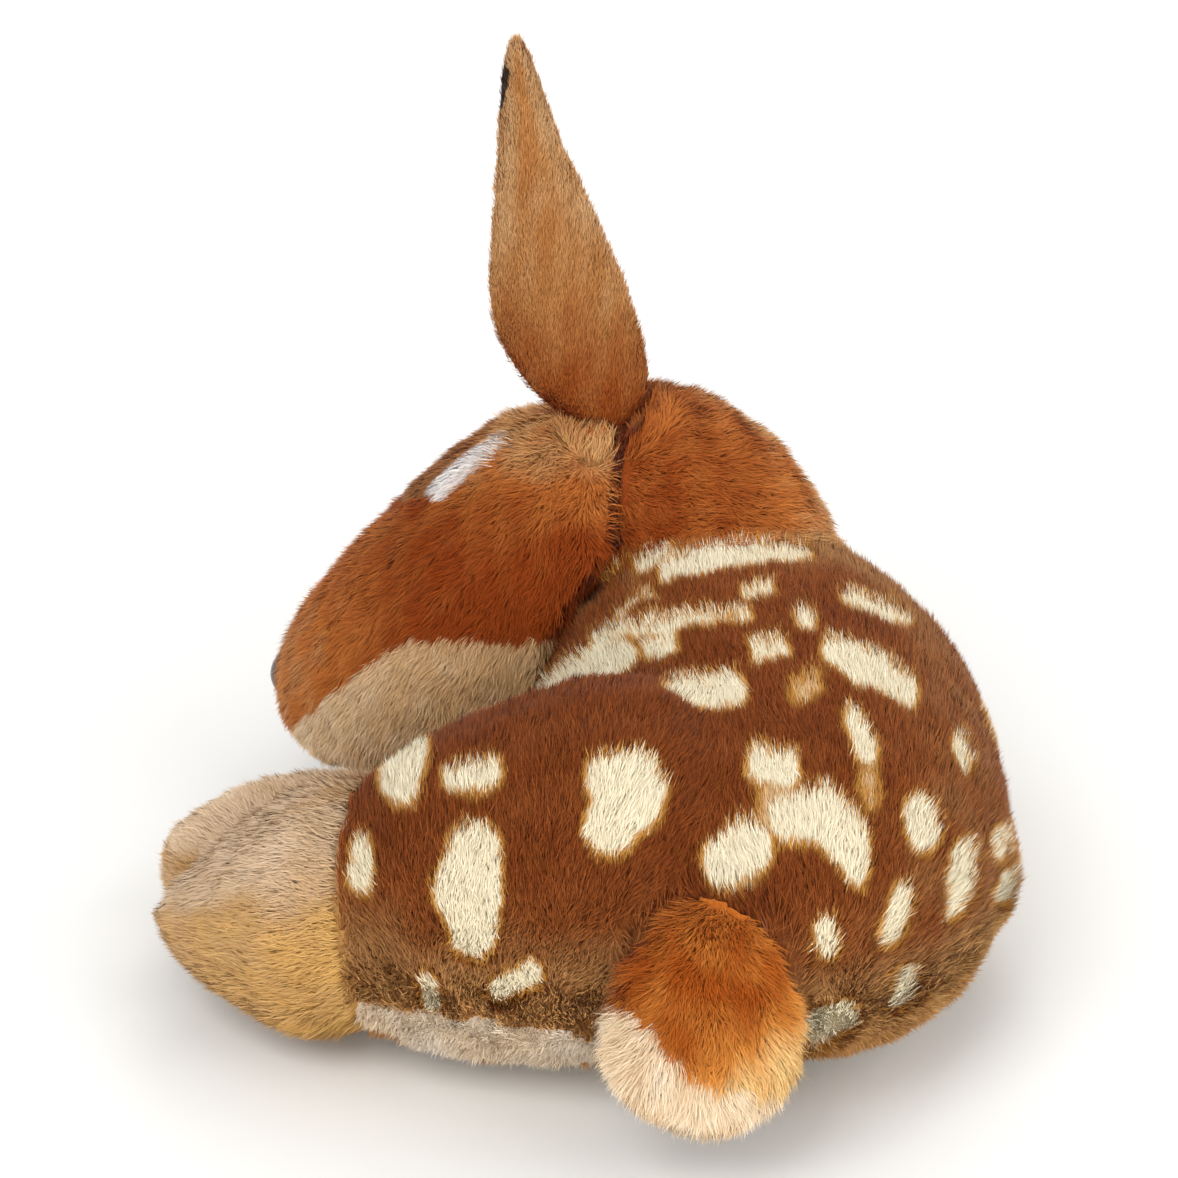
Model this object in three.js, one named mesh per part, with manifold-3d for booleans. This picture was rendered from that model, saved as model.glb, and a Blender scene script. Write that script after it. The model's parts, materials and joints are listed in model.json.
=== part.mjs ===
// A plush fawn lying curled up, its head turned back beside its left haunch.
// Millimetres, +Z up. The fawn lies on its belly with its rump towards -Y and its back leg towards -X.
// Every stuffed piece is a form that swells and tapers round a curved spine, and where two pieces meet
// the smaller one is cut to the larger, as they are when they are sewn together.
import * as THREE from 'three';
import { mergeVertices } from 'three/addons/utils/BufferGeometryUtils.js';
import Module from 'manifold-3d';

const wasm = await Module();
wasm.setup();

// Clearances and cloth
const seamGap = 0.35; // between any two pieces that touch
const turnGap = 1; // between pieces that turn past each other
const plushThickness = 2.4; // woven backing and the foot of the pile
const weldReach = 1e-4; // corners of a surface this close are one corner
const groundTrim = 0.5; // depth of the flat that the belly lies on
const bellySeamHeight = 8; // height of the seam between the brown back and the cream belly

// Trunk, from rump to chest
const torsoLength = 172;
const torsoWidth = 104;
const torsoHeight = 86;

// Hind legs
const haunchLeftLength = 96;
const haunchLeftWidth = 92;
const haunchLeftHeight = 70;
const haunchRightLength = 48;
const haunchRightWidth = 68;
const haunchRightHeight = 68;
const hockLeftLength = 66;
const hockLeftWidth = 72;
const hockLeftHeight = 62;
const hockRightLength = 50;
const hockRightWidth = 36;
const hockRightHeight = 36;
const footLength = 72;
const footWidth = 35;
const footHeight = 39;
const footRightLength = 58;
const footRightWidth = 26;
const footRightHeight = 26;

// Fore legs
const foreLegLength = 60;
const foreLegWidth = 24;
const foreLegHeight = 24;

// Neck and head
const neckReach = 30;
const neckWidth = 58;
const neckHeight = 118;
const headLength = 96;
const headWidth = 64;
const headHeight = 112;
const neckFoldTilt = 8; // degrees that the fold between neck and head leans back
const headTurnLimits = [-8, 6]; // degrees

// Ears
const earLength = 96;
const earWidth = 40;
const earThickness = 5;
const earCup = 6; // how far the ear's edges bend forward
const earRootDepth = 3; // how far the ear's root is sewn into the head
const earAlong = 0.13; // how far down the head the ears stand, as a share of its length
const earTurns = { left: 62, right: -48 }; // degrees round the head from its crest
const liningThickness = 2.6;
const liningGap = 0.9; // an ear's two layers are sewn together only along their edge
const liningLengthShare = 0.8;
const liningWidthShare = 0.84;
const liningStartShare = 0.13; // bare root below the lining, as a share of the ear's length
const earBendLimits = [-20, 20]; // degrees

// Tail
const tailLength = 42.5;
const tailWidth = 45;
const tailHeight = 60;
const tailSeamAlong = 0.7; // where along the tail the height of its side seam is taken
const tailSeamShare = -0.05; // height of that seam above the tail's middle, as a share of its height
const tailPivotAlong = 0.14; // place of the hinge line along the tail
const tailLiftLimits = [0, 60]; // degrees

// Eyes and nose
const eyeRadius = 5.5;
const eyeDome = 3.8;
const eyeAlong = 0.45; // place of the eyes down the head, as a share of its length
const eyeTurns = { left: 6, right: -38 }; // degrees round the head from its crest
const patchLength = 34;
const patchWidth = 38;
const patchThickness = 1.2;
const patchShift = 29; // degrees that a patch reaches down the cheek past the eye's middle
const patchSetbackShare = 0.22; // how far a patch sits behind the eye, as a share of its length
const noseLength = 15;
const noseWidth = 19;
const noseHeight = 15;
const noseSinkShare = 0.62; // how much of the nose's length is cut away by the muzzle
const noseShankShare = 0.2; // how far the shank reaches up inside the nose
const shankRadius = 1.7;
const shankLength = 9;
const washerRadius = 5.4;
const washerThickness = 1.2;
const washerSink = 1.6; // a flat washer's rim meets the curved plush before its middle does

// Chin: cut off along the muzzle, and level at the back of the cheek
const chinAlong = 0.5;
const chinTwist = 22; // degrees that the seam leans away from the near side
const chinTurn = -9; // degrees above the side of the head where the two colours meet
const jawPlaceShares = [0.3, -0.37, 0.548]; // a place on the level part of the seam

// Shapes of the stuffed forms. A row gives the middle of the form: along, aside to the right and up,
// then half the width, the height above the middle and the height below it. The first and fourth column
// are shares of the length and width, the second of the width, the others of the height.
const torsoShares = [
  [0, -0.06, 0.42, 0.4, 0.4, 0.42],
  [0.2, 0.04, 0.43, 0.46, 0.47, 0.44],
  [0.4, 0.095, 0.44, 0.475, 0.52, 0.448],
  [0.6, 0.03, 0.465, 0.52, 0.56, 0.472],
  [0.8, -0.05, 0.49, 0.49, 0.59, 0.498],
  [1, -0.08, 0.52, 0.36, 0.5, 0.5],
];
const haunchLeftShares = [
  [0, 0.06, 0.47, 0.46, 0.7, 0.485],
  [0.25, 0.04, 0.485, 0.5, 0.74, 0.5],
  [0.5, 0.01, 0.485, 0.49, 0.65, 0.5],
  [0.75, -0.02, 0.47, 0.41, 0.54, 0.485],
  [1, -0.02, 0.44, 0.36, 0.46, 0.455],
];
const haunchRightShares = [
  [0, 0, 0.47, 0.44, 0.46, 0.485],
  [0.5, -0.02, 0.47, 0.48, 0.56, 0.485],
  [1, -0.05, 0.6, 0.44, 0.5, 0.4],
];
const hockLeftShares = [
  [0, 0, 0.485, 0.47, 0.58, 0.5],
  [0.25, 0, 0.485, 0.49, 0.52, 0.5],
  [0.5, 0, 0.45, 0.46, 0.42, 0.465],
  [0.75, -0.02, 0.4, 0.34, 0.3, 0.35],
  [1, -0.04, 0.37, 0.22, 0.19, 0.22],
];
const legShares = [
  [0, 0, 0.47, 0.46, 0.5, 0.475],
  [0.35, 0.02, 0.48, 0.49, 0.52, 0.485],
  [0.7, 0.02, 0.46, 0.44, 0.46, 0.465],
  [1, 0, 0.42, 0.4, 0.4, 0.43],
];
const foldedLegShares = [
  [0, 0, 0.52, 0.5, 0.5, 0.52],
  [0.3, 0.45, 0.5, 0.48, 0.5, 0.505],
  [0.6, 0.5, 0.47, 0.44, 0.46, 0.475],
  [1, 0, 0.44, 0.42, 0.42, 0.445],
];
const neckShares = [
  [0, 0, 0.373, 0.5, 0.254, 0.254],
  [0.53, -0.1, 0.56, 0.5, 0.254, 0.254],
  [0.9, -0.27, 0.68, 0.5, 0.254, 0.254],
  [1, -0.5, 0.73, 0.49, 0.254, 0.262],
  [0.97, -0.87, 0.74, 0.48, 0.25, 0.262],
];
const headShares = [
  [0, 0, 0.76, 0.47, 0.31, 0.32],
  [0.2, 0.01, 0.74, 0.49, 0.305, 0.35],
  [0.39, 0.04, 0.62, 0.5, 0.285, 0.385],
  [0.62, 0.12, 0.46, 0.44, 0.25, 0.36],
  [0.82, 0.25, 0.33, 0.36, 0.215, 0.335],
  [1, 0.45, 0.23, 0.28, 0.175, 0.25],
];
const tailShares = [
  [0, -0.2, 0.9, 0.27, 0.13, 0.13],
  [0.33, 0.05, 0.73, 0.39, 0.19, 0.18],
  [0.67, 0.19, 0.46, 0.5, 0.21, 0.2],
  [1, 0.3, 0.28, 0.48, 0.19, 0.2],
];
const earShares = [
  [0, 0.06, 0, 0.33, 0.5, 0.5],
  [0.125, -0.14, 0, 0.38, 0.5, 0.5],
  [0.25, -0.31, 0, 0.45, 0.5, 0.5],
  [0.375, -0.38, 0, 0.4, 0.5, 0.5],
  [0.5, -0.42, 0, 0.33, 0.48, 0.48],
  [0.625, -0.48, 0, 0.25, 0.46, 0.46],
  [0.75, -0.52, 0, 0.17, 0.42, 0.42],
  [0.875, -0.56, 0, 0.12, 0.36, 0.36],
  [1, -0.58, 0, 0.06, 0.3, 0.3],
];
const noseShares = [
  [0, 0, 0, 0.4, 0.5, 0.5],
  [0.5, 0, 0, 0.5, 0.5, 0.5],
  [1, 0, 0, 0.36, 0.4, 0.42],
];
const floppyEarDroopShare = 0.34; // how far the hanging ear's tip falls, as a share of its length

// A stuffed form: rings of points round a curved spine, closed by a point at each end.
class StuffedForm {
  constructor({ length, width, height, shares, start = new THREE.Vector3(), heading = 0, pitch = 0,
    roll = 0, twist = 0, bluntness = 2.6, flatness = 1, cup = 0, sides = 16, rings = 10 }) {
    Object.assign(this, { length, width, height, shares, start, twist });
    Object.assign(this, { bluntness, flatness, cup, sides, rings });
    const turn = new THREE.Euler(...[roll, -pitch, heading].map(THREE.MathUtils.degToRad), 'ZYX');
    this.turn = new THREE.Matrix4().makeRotationFromEuler(turn);
    this.up = new THREE.Vector3(0, 0, 1).applyMatrix4(this.turn);
  }

  // A place given as shares along, aside and up
  at(along, aside, up) {
    const place = new THREE.Vector3(along * this.length, -aside * this.width, up * this.height);
    return place.applyMatrix4(this.turn).add(this.start);
  }

  // The row of shares at u, on a smooth curve through the rows
  row(u) {
    const last = this.shares.length - 1;
    const place = Math.min(Math.max(u, 0), 1) * last;
    const k = Math.min(Math.floor(place), last - 1);
    const t = place - k;
    const near = [k - 1, k, k + 1, k + 2].map((i) => this.shares[Math.min(Math.max(i, 0), last)]);
    return near[1].map((b, c) => {
      const slopeIn = (near[2][c] - near[0][c]) / 2;
      const slopeOut = (near[3][c] - near[1][c]) / 2;
      const drop = near[2][c] - b;
      return b + slopeIn * t + (3 * drop - 2 * slopeIn - slopeOut) * t ** 2
        + (slopeIn + slopeOut - 2 * drop) * t ** 3;
    });
  }

  middle(u) {
    return this.at(...this.row(u).slice(0, 3));
  }

  // The way the spine runs at u, and the two directions across it
  directions(u, twist = this.twist) {
    const step = 0.01;
    const along = this.middle(Math.min(u + step, 1)).sub(this.middle(Math.max(u - step, 0))).normalize();
    const aside = new THREE.Vector3().crossVectors(along, this.up).normalize();
    const up = new THREE.Vector3().crossVectors(aside, along);
    const spin = THREE.MathUtils.degToRad(twist);
    const tilted = up.clone().multiplyScalar(Math.cos(spin)).addScaledVector(aside, Math.sin(spin));
    aside.multiplyScalar(Math.cos(spin)).addScaledVector(up, -Math.sin(spin));
    return { along, aside, up: tilted };
  }

  // A point of the skin at u, where angle 0 is the right side and 90 degrees the top
  skin(u, angle) {
    const [, , , halfWidth, above, below] = this.row(u);
    const closing = Math.sqrt(Math.max(0, 1 - Math.abs(2 * u - 1) ** this.bluntness));
    const { aside, up } = this.directions(u);
    const across = Math.cos(angle);
    const rise = Math.sin(angle);
    const height = rise > 0 ? above * rise : -below * Math.abs(rise) ** this.flatness;
    return this.middle(u)
      .addScaledVector(aside, across * halfWidth * closing * this.width)
      .addScaledVector(up, height * closing * this.height - this.cup * across ** 2 * closing);
  }

  normal(u, angle) {
    const step = 0.004;
    const inside = Math.min(Math.max(u, 2 * step), 1 - 2 * step);
    const lengthwise = this.skin(inside + step, angle).sub(this.skin(inside - step, angle));
    const around = this.skin(inside, angle + step).sub(this.skin(inside, angle - step));
    return lengthwise.cross(around).normalize();
  }

  // The skin moved out by grow, as points and faces of one closed body
  solid(grow = 0) {
    const points = [];
    const faces = [];
    const ends = [0, 1].map((u) => {
      const outward = this.directions(u).along.multiplyScalar(u === 0 ? -1 : 1);
      return this.middle(u).addScaledVector(outward, grow);
    });
    points.push(ends[0]);
    for (let ring = 1; ring < this.rings; ring += 1) {
      const u = (1 - Math.cos((Math.PI * ring) / this.rings)) / 2;
      for (let side = 0; side < this.sides; side += 1) {
        const angle = (2 * Math.PI * side) / this.sides;
        points.push(this.skin(u, angle).addScaledVector(this.normal(u, angle), grow));
      }
    }
    points.push(ends[1]);
    const last = points.length - 1;
    const at = (ring, side) => 1 + (ring - 1) * this.sides + (side % this.sides);
    for (let side = 0; side < this.sides; side += 1) {
      faces.push(0, at(1, side), at(1, side + 1));
      faces.push(last, at(this.rings - 1, side + 1), at(this.rings - 1, side));
      for (let ring = 1; ring < this.rings - 1; ring += 1) {
        faces.push(at(ring, side), at(ring + 1, side), at(ring + 1, side + 1));
        faces.push(at(ring, side), at(ring + 1, side + 1), at(ring, side + 1));
      }
    }
    return solidFrom(points.flatMap((p) => p.toArray()), faces);
  }
}

// A closed set of faces as a solid, turned to face outwards
function solidFrom(positions, faces) {
  const build = (order) => new wasm.Manifold(new wasm.Mesh({
    numProp: 3,
    vertProperties: new Float32Array(positions),
    triVerts: new Uint32Array(order),
  }));
  const body = build(faces);
  return body.volume() > 0 ? body : build(faces.toReversed());
}

function solidOf(geometry, matrix = new THREE.Matrix4()) {
  const bare = geometry.clone().applyMatrix4(matrix);
  bare.deleteAttribute('normal');
  bare.deleteAttribute('uv');
  const merged = mergeVertices(bare, weldReach);
  return solidFrom(Array.from(merged.attributes.position.array), Array.from(merged.index.array));
}

function geometryOf(solid) {
  const { vertProperties, triVerts } = solid.getMesh();
  const geometry = new THREE.BufferGeometry();
  geometry.setAttribute('position', new THREE.BufferAttribute(new Float32Array(vertProperties), 3));
  geometry.setIndex(new THREE.BufferAttribute(new Uint32Array(triVerts), 1));
  geometry.computeVertexNormals();
  return geometry;
}

// A block that covers everything on one side of a plane
function beyond(point, normal) {
  const reach = 4 * torsoLength;
  const turn = new THREE.Quaternion().setFromUnitVectors(new THREE.Vector3(0, 0, 1), normal);
  const centre = point.clone().addScaledVector(normal, reach / 2);
  const matrix = new THREE.Matrix4().compose(centre, turn, new THREE.Vector3(1, 1, 1));
  return solidOf(new THREE.BoxGeometry(reach, reach, reach), matrix);
}

// A rod or disc that stands on a point along a direction, from one depth to another
function rod(point, direction, radius, from, to, segments = 16) {
  const turn = new THREE.Quaternion().setFromUnitVectors(new THREE.Vector3(0, 1, 0), direction);
  const centre = point.clone().addScaledVector(direction, (from + to) / 2);
  const matrix = new THREE.Matrix4().compose(centre, turn, new THREE.Vector3(1, 1, 1));
  return solidOf(new THREE.CylinderGeometry(radius, radius, Math.abs(to - from), segments), matrix);
}

function moveTo(point) {
  return new THREE.Matrix4().makeTranslation(point);
}

function turnedAbout(solid, point, axis, degrees) {
  const spin = new THREE.Matrix4().makeRotationAxis(axis, THREE.MathUtils.degToRad(degrees));
  const there = moveTo(point);
  const back = moveTo(point.clone().negate());
  return solid.transform(there.multiply(spin).multiply(back).toArray());
}

// All the room that a solid passes through as it turns between two limits
function swept(solid, point, axis, [low, high]) {
  const turns = [low, low / 2, high / 2, high].map((degrees) => turnedAbout(solid, point, axis, degrees));
  return turns.reduce((all, one) => all.add(one), solid);
}

const upward = new THREE.Vector3(0, 0, 1);
const downward = new THREE.Vector3(0, 0, -1);
// The forms, each placed from the one that carries it
const torso = new StuffedForm({
  length: torsoLength, width: torsoWidth, height: torsoHeight, heading: 90, shares: torsoShares,
  bluntness: 3, flatness: 0.7, sides: 20, rings: 12,
});
const ground = new THREE.Vector3(0, 0, torso.solid().boundingBox().min[2] + groundTrim);
const underGround = beyond(ground, downward);
const haunchLeftForm = new StuffedForm({
  length: haunchLeftLength, width: haunchLeftWidth, height: haunchLeftHeight, heading: 180,
  shares: haunchLeftShares, start: torso.at(0.275, -0.02, 0), bluntness: 4, flatness: 0.8,
});
const haunchRightForm = new StuffedForm({
  length: haunchRightLength, width: haunchRightWidth, height: haunchRightHeight, heading: 0,
  shares: haunchRightShares, start: torso.at(0.46, 0.09, 0), bluntness: 3, flatness: 1,
});
const hockLeftForm = new StuffedForm({
  length: hockLeftLength, width: hockLeftWidth, height: hockLeftHeight, heading: 168,
  shares: hockLeftShares, start: haunchLeftForm.at(0.73, 0, 0), bluntness: 2.4, flatness: 0.8,
});
const footLeftForm = new StuffedForm({
  length: footLength, width: footWidth, height: footHeight, heading: 31, shares: legShares,
  start: hockLeftForm.at(1.08, 0.27, 0), bluntness: 2.6, sides: 12, rings: 8,
});
const hockRightForm = new StuffedForm({
  length: hockRightLength, width: hockRightWidth, height: hockRightHeight, heading: 82,
  shares: legShares, start: haunchRightForm.at(0.46, -0.14, 0), bluntness: 2.6, sides: 12, rings: 8,
});
const footRightForm = new StuffedForm({
  length: footRightLength, width: footRightWidth, height: footRightHeight, heading: 98,
  shares: legShares, start: hockRightForm.at(0.68, 0.1, 0), bluntness: 2.6, sides: 12, rings: 8,
});
const foreLegLeftForm = new StuffedForm({
  length: foreLegLength, width: foreLegWidth, height: foreLegHeight, heading: 142,
  shares: foldedLegShares, start: torso.at(0.89, -0.2, 0), bluntness: 2.8, sides: 12, rings: 8,
});
const foreLegRightForm = new StuffedForm({
  length: foreLegLength, width: foreLegWidth, height: foreLegHeight, heading: 118,
  shares: foldedLegShares, start: torso.at(0.91, 0.12, 0), bluntness: 2.8, sides: 12, rings: 8,
});
const neckForm = new StuffedForm({
  length: neckReach, width: neckWidth, height: neckHeight, heading: 90, shares: neckShares,
  start: torso.at(0.709, 0.02, 0), bluntness: 6, sides: 18, rings: 10,
});
const headForm = new StuffedForm({
  length: headLength, width: headWidth, height: headHeight, heading: 180, shares: headShares,
  start: neckForm.at(0.93, -0.32, 0), bluntness: 3.2, twist: 50, sides: 18, rings: 12,
});
const tailForm = new StuffedForm({
  length: tailLength, width: tailWidth, height: tailHeight, heading: -90, shares: tailShares,
  start: torso.at(0.11, -0.06, 0), bluntness: 2.8, twist: -22, sides: 16, rings: 10,
});

// Trunk: a plush back and belly round the fibre filling
const torsoOutside = torso.solid().subtract(underGround);
const liftedFloor = ground.clone().addScaledVector(upward, plushThickness);
const torsoHollow = torso.solid(-plushThickness).subtract(beyond(liftedFloor, downward));
const torsoCover = torsoOutside.subtract(torsoHollow);
const bellySeam = ground.clone().addScaledVector(upward, bellySeamHeight);
const bellySeamTop = bellySeam.clone().addScaledVector(upward, seamGap);
const fillingFloor = liftedFloor.clone().addScaledVector(upward, seamGap);
const torsoClear = torso.solid(seamGap);
const backPanel = torsoCover.subtract(beyond(bellySeamTop, downward));
const bellyPanel = torsoCover.subtract(beyond(bellySeam, upward));
const torsoFilling = torso.solid(-plushThickness - seamGap).subtract(beyond(fillingFloor, downward));

// Neck and head meet at a flat fold, so the head can turn against the neck
const foldPoint = neckForm.at(0.93, -0.61, 0.745);
const foldLean = THREE.MathUtils.degToRad(neckFoldTilt);
const foldNormal = new THREE.Vector3(-Math.cos(foldLean), 0, Math.sin(foldLean));
const headSide = beyond(foldPoint.clone().addScaledVector(foldNormal, -seamGap / 2), foldNormal);
const foldTop = foldPoint.clone().addScaledVector(foldNormal, seamGap / 2);
const neckSide = beyond(foldTop, foldNormal.clone().negate());
const neckWhole = neckForm.solid().subtract(torsoClear).subtract(headSide);
const headGrown = headForm.solid(turnGap).subtract(neckSide);
const headRoom = swept(headGrown, foldPoint, foldNormal, headTurnLimits);
const turnedBack = headTurnLimits.map((limit) => -limit);
const trunkTurned = (grow) => swept(torso.solid(grow), foldPoint, foldNormal, turnedBack);

// Legs: each cut to the larger piece that it is sewn to
const haunchLeft = haunchLeftForm.solid().subtract(underGround).subtract(torsoClear);
const haunchRight = haunchRightForm.solid().subtract(underGround).subtract(torsoClear);
const haunchLeftClear = haunchLeftForm.solid(seamGap);
const haunchRightClear = haunchRightForm.solid(seamGap);
const hockLeft = hockLeftForm.solid().subtract(underGround).subtract(torsoClear)
  .subtract(haunchLeftClear);
const hockRight = hockRightForm.solid().subtract(underGround).subtract(torsoClear)
  .subtract(haunchRightClear);
const footLeft = footLeftForm.solid().subtract(underGround).subtract(hockLeftForm.solid(seamGap))
  .subtract(haunchLeftClear).subtract(torsoClear);
const footRight = footRightForm.solid().subtract(underGround).subtract(hockRightForm.solid(seamGap))
  .subtract(haunchRightClear).subtract(torsoClear);
const foreLegLeft = foreLegLeftForm.solid().subtract(underGround).subtract(torsoClear).subtract(headRoom);
const foreLegRight = foreLegRightForm.solid().subtract(underGround).subtract(torsoClear)
  .subtract(foreLegLeftForm.solid(seamGap));

// Ears: a cupped back with a thinner lining sewn inside it
function earForms(side, place, { heading, pitch, roll, droop }) {
  const shares = earShares.map(([along, aside, up, half, above, below]) => [
    along, side * aside, up - droop * along ** 2, half, above, below,
  ]);
  const common = { length: earLength, width: earWidth, heading, pitch, roll, sides: 12 };
  const back = new StuffedForm({
    ...common, height: earThickness, shares, start: place, cup: earCup, bluntness: 9, rings: 11,
  });
  const inset = (earThickness + liningThickness) / 2 + liningGap;
  const liningShares = shares.map(([along, aside, up, half]) => [
    liningStartShare + liningLengthShare * along, aside, (up * earThickness) / liningThickness,
    half * liningWidthShare, 0.5, 0.5,
  ]);
  const start = place.clone().addScaledVector(back.up, -inset);
  const lining = new StuffedForm({
    ...common, height: liningThickness, shares: liningShares, start, cup: earCup * liningWidthShare,
    bluntness: 4, rings: 9,
  });
  const outward = back.at(1, 0, 0).sub(place).normalize();
  return { back, lining, pivot: place.clone().addScaledVector(outward, earRootDepth) };
}

function earPlace(angleFromTop) {
  const angle = THREE.MathUtils.degToRad(90 + angleFromTop);
  const inward = headForm.normal(earAlong, angle).multiplyScalar(-earRootDepth);
  return headForm.skin(earAlong, angle).add(inward);
}

const earLeft = earForms(1, earPlace(earTurns.left), { heading: 90, pitch: 90, roll: 0, droop: 0 });
const earRight = earForms(-1, earPlace(earTurns.right), {
  heading: 96, pitch: -10, roll: -30, droop: (floppyEarDroopShare * earLength) / earThickness,
});
const earAxis = (ear) => new THREE.Vector3(0, 1, 0).applyMatrix4(ear.back.turn).negate();

// The rooms that an ear's root needs, in the head as the ear bends and in the neck as the head turns
function earRoom(ear, gap) {
  const nearby = solidOf(new THREE.SphereGeometry(earWidth / 2, 12, 8), moveTo(ear.pivot));
  const root = ear.back.solid(gap).intersect(nearby);
  const inward = ear.back.start.clone().sub(ear.pivot).setLength(gap);
  const deeper = root.transform(moveTo(inward).toArray());
  return swept(root.add(deeper), ear.pivot, earAxis(ear), earBendLimits).hull();
}

const earRooms = earRoom(earLeft, seamGap).add(earRoom(earRight, seamGap));
const [neckRoomLeft, neckRoomRight] = [earLeft, earRight]
  .map((ear) => swept(earRoom(ear, turnGap), foldPoint, foldNormal, headTurnLimits).hull());
const neck = neckWhole.subtract(neckRoomLeft).subtract(neckRoomRight);

// Eyes and nose: a dome or button on a shank, held behind the plush by a washer
function buttonPlace(u, angleFromTop, lift) {
  const angle = THREE.MathUtils.degToRad(90 + angleFromTop);
  const direction = headForm.normal(u, angle);
  return { point: headForm.skin(u, angle).addScaledVector(direction, lift), direction };
}

const eyeLift = patchThickness + 2 * seamGap;
const eyePlaces = {
  left: buttonPlace(eyeAlong, eyeTurns.left, eyeLift),
  right: buttonPlace(eyeAlong, eyeTurns.right, eyeLift),
};
const noseDirection = headForm.directions(1).along.clone();
const noseTip = headForm.middle(1);
const headClear = headForm.solid(seamGap);

const washerDepth = plushThickness + washerSink + seamGap;
const pocketDepth = washerDepth + washerThickness + seamGap;

function eyeSolid({ point, direction }) {
  const steps = 6;
  const dome = Array.from({ length: steps + 1 }, (_, k) => {
    const swing = (Math.PI / 2) * (k / steps);
    return new THREE.Vector2(eyeRadius * Math.sin(swing), eyeDome * Math.cos(swing));
  });
  const profile = [...dome, new THREE.Vector2(shankRadius, 0), new THREE.Vector2(shankRadius, -shankLength),
    new THREE.Vector2(0, -shankLength)];
  const turn = new THREE.Quaternion().setFromUnitVectors(new THREE.Vector3(0, 1, 0), direction);
  const matrix = new THREE.Matrix4().compose(point, turn, new THREE.Vector3(1, 1, 1));
  return solidOf(new THREE.LatheGeometry(profile.toReversed(), 18), matrix);
}

function washerSolid({ point, direction }, depth) {
  return rod(point, direction, washerRadius, -depth - washerThickness, -depth)
    .subtract(rod(point, direction, shankRadius + seamGap, -depth - 2 * washerThickness, 0));
}

function boreFor({ point, direction }, depth) {
  return rod(point, direction, shankRadius + seamGap, -depth, eyeRadius);
}

function pocketFor({ point, direction }, depth, lift) {
  const wide = rod(point, direction, washerRadius + seamGap, -pocketDepth - lift, 0);
  return wide.add(rod(point, direction, shankRadius + seamGap, -depth, 0));
}

// The patch is a thin layer of plush on the skin, cut to an oval
function patchSolid(side) {
  const shift = side === 'left' ? patchShift : -patchShift;
  const { point, direction } = buttonPlace(eyeAlong, eyeTurns[side] + shift, eyeLift);
  const layer = headForm.solid(seamGap + patchThickness).subtract(headClear);
  const oval = new THREE.CylinderGeometry(patchWidth / 2, patchWidth / 2, patchLength, 22);
  const along = headForm.directions(eyeAlong).along;
  const across = new THREE.Vector3().crossVectors(direction, along).normalize();
  const flat = new THREE.Vector3().crossVectors(across, direction);
  const stretch = new THREE.Vector3(patchLength / patchWidth, 1, 1);
  const basis = new THREE.Matrix4().makeBasis(flat, direction, across.negate());
  const behind = point.clone().addScaledVector(flat, -patchLength * patchSetbackShare);
  const matrix = new THREE.Matrix4().setPosition(behind).multiply(basis).scale(stretch);
  return layer.intersect(solidOf(oval, matrix));
}

const noseForm = new StuffedForm({
  length: noseLength, width: noseWidth, height: noseHeight, shares: noseShares,
  start: noseTip.clone().addScaledVector(noseDirection, -noseLength * noseSinkShare),
  heading: THREE.MathUtils.radToDeg(Math.atan2(noseDirection.y, noseDirection.x)),
  pitch: THREE.MathUtils.radToDeg(Math.asin(noseDirection.z)), bluntness: 2.2, sides: 16, rings: 10,
});
const nosePlace = { point: noseTip, direction: noseDirection };
const noseShank = rod(noseTip, noseDirection, shankRadius, -shankLength, noseLength * noseShankShare);
const nose = noseForm.solid().subtract(headClear).add(noseShank);

// Head: a rust cover and a cream chin round the filling
const headClosed = headForm.solid().subtract(neckSide).subtract(trunkTurned(turnGap));
const headHollow = headForm.solid(-plushThickness).subtract(trunkTurned(turnGap + plushThickness));
const chinUp = headForm.directions(chinAlong, chinTwist).up;
const chinRise = (headWidth / 2) * Math.sin(THREE.MathUtils.degToRad(chinTurn));
const chinSeamPoint = headForm.middle(chinAlong).addScaledVector(chinUp, chinRise);
const jawPoint = headForm.at(...jawPlaceShares);
const jawLean = THREE.MathUtils.degToRad(chinTwist);
const jawUp = new THREE.Vector3(0, Math.sin(jawLean), Math.cos(jawLean));
const bores = boreFor(eyePlaces.left, pocketDepth + eyeLift)
  .add(boreFor(eyePlaces.right, pocketDepth + eyeLift)).add(boreFor(nosePlace, pocketDepth));
const headCover = headClosed.subtract(headHollow).subtract(bores)
  .subtract(earRooms);
const aboveChin = beyond(chinSeamPoint, chinUp).add(beyond(jawPoint, jawUp));
const chinTopPoint = chinSeamPoint.clone().addScaledVector(chinUp, seamGap);
const jawTopPoint = jawPoint.clone().addScaledVector(jawUp, seamGap);
const belowCover = beyond(chinTopPoint, chinUp.clone().negate())
  .intersect(beyond(jawTopPoint, jawUp.clone().negate()));
const headTop = headCover.subtract(belowCover);
const chinPanel = headCover.subtract(aboveChin);
const shankRoom = shankLength + seamGap;
const pockets = pocketFor(eyePlaces.left, shankRoom, eyeLift)
  .add(pocketFor(eyePlaces.right, shankRoom, eyeLift)).add(pocketFor(nosePlace, shankRoom, 0));
const headFilling = headForm.solid(-plushThickness - seamGap).subtract(neckSide)
  .subtract(trunkTurned(turnGap + plushThickness + seamGap)).subtract(pockets)
  .subtract(earRooms);

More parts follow.
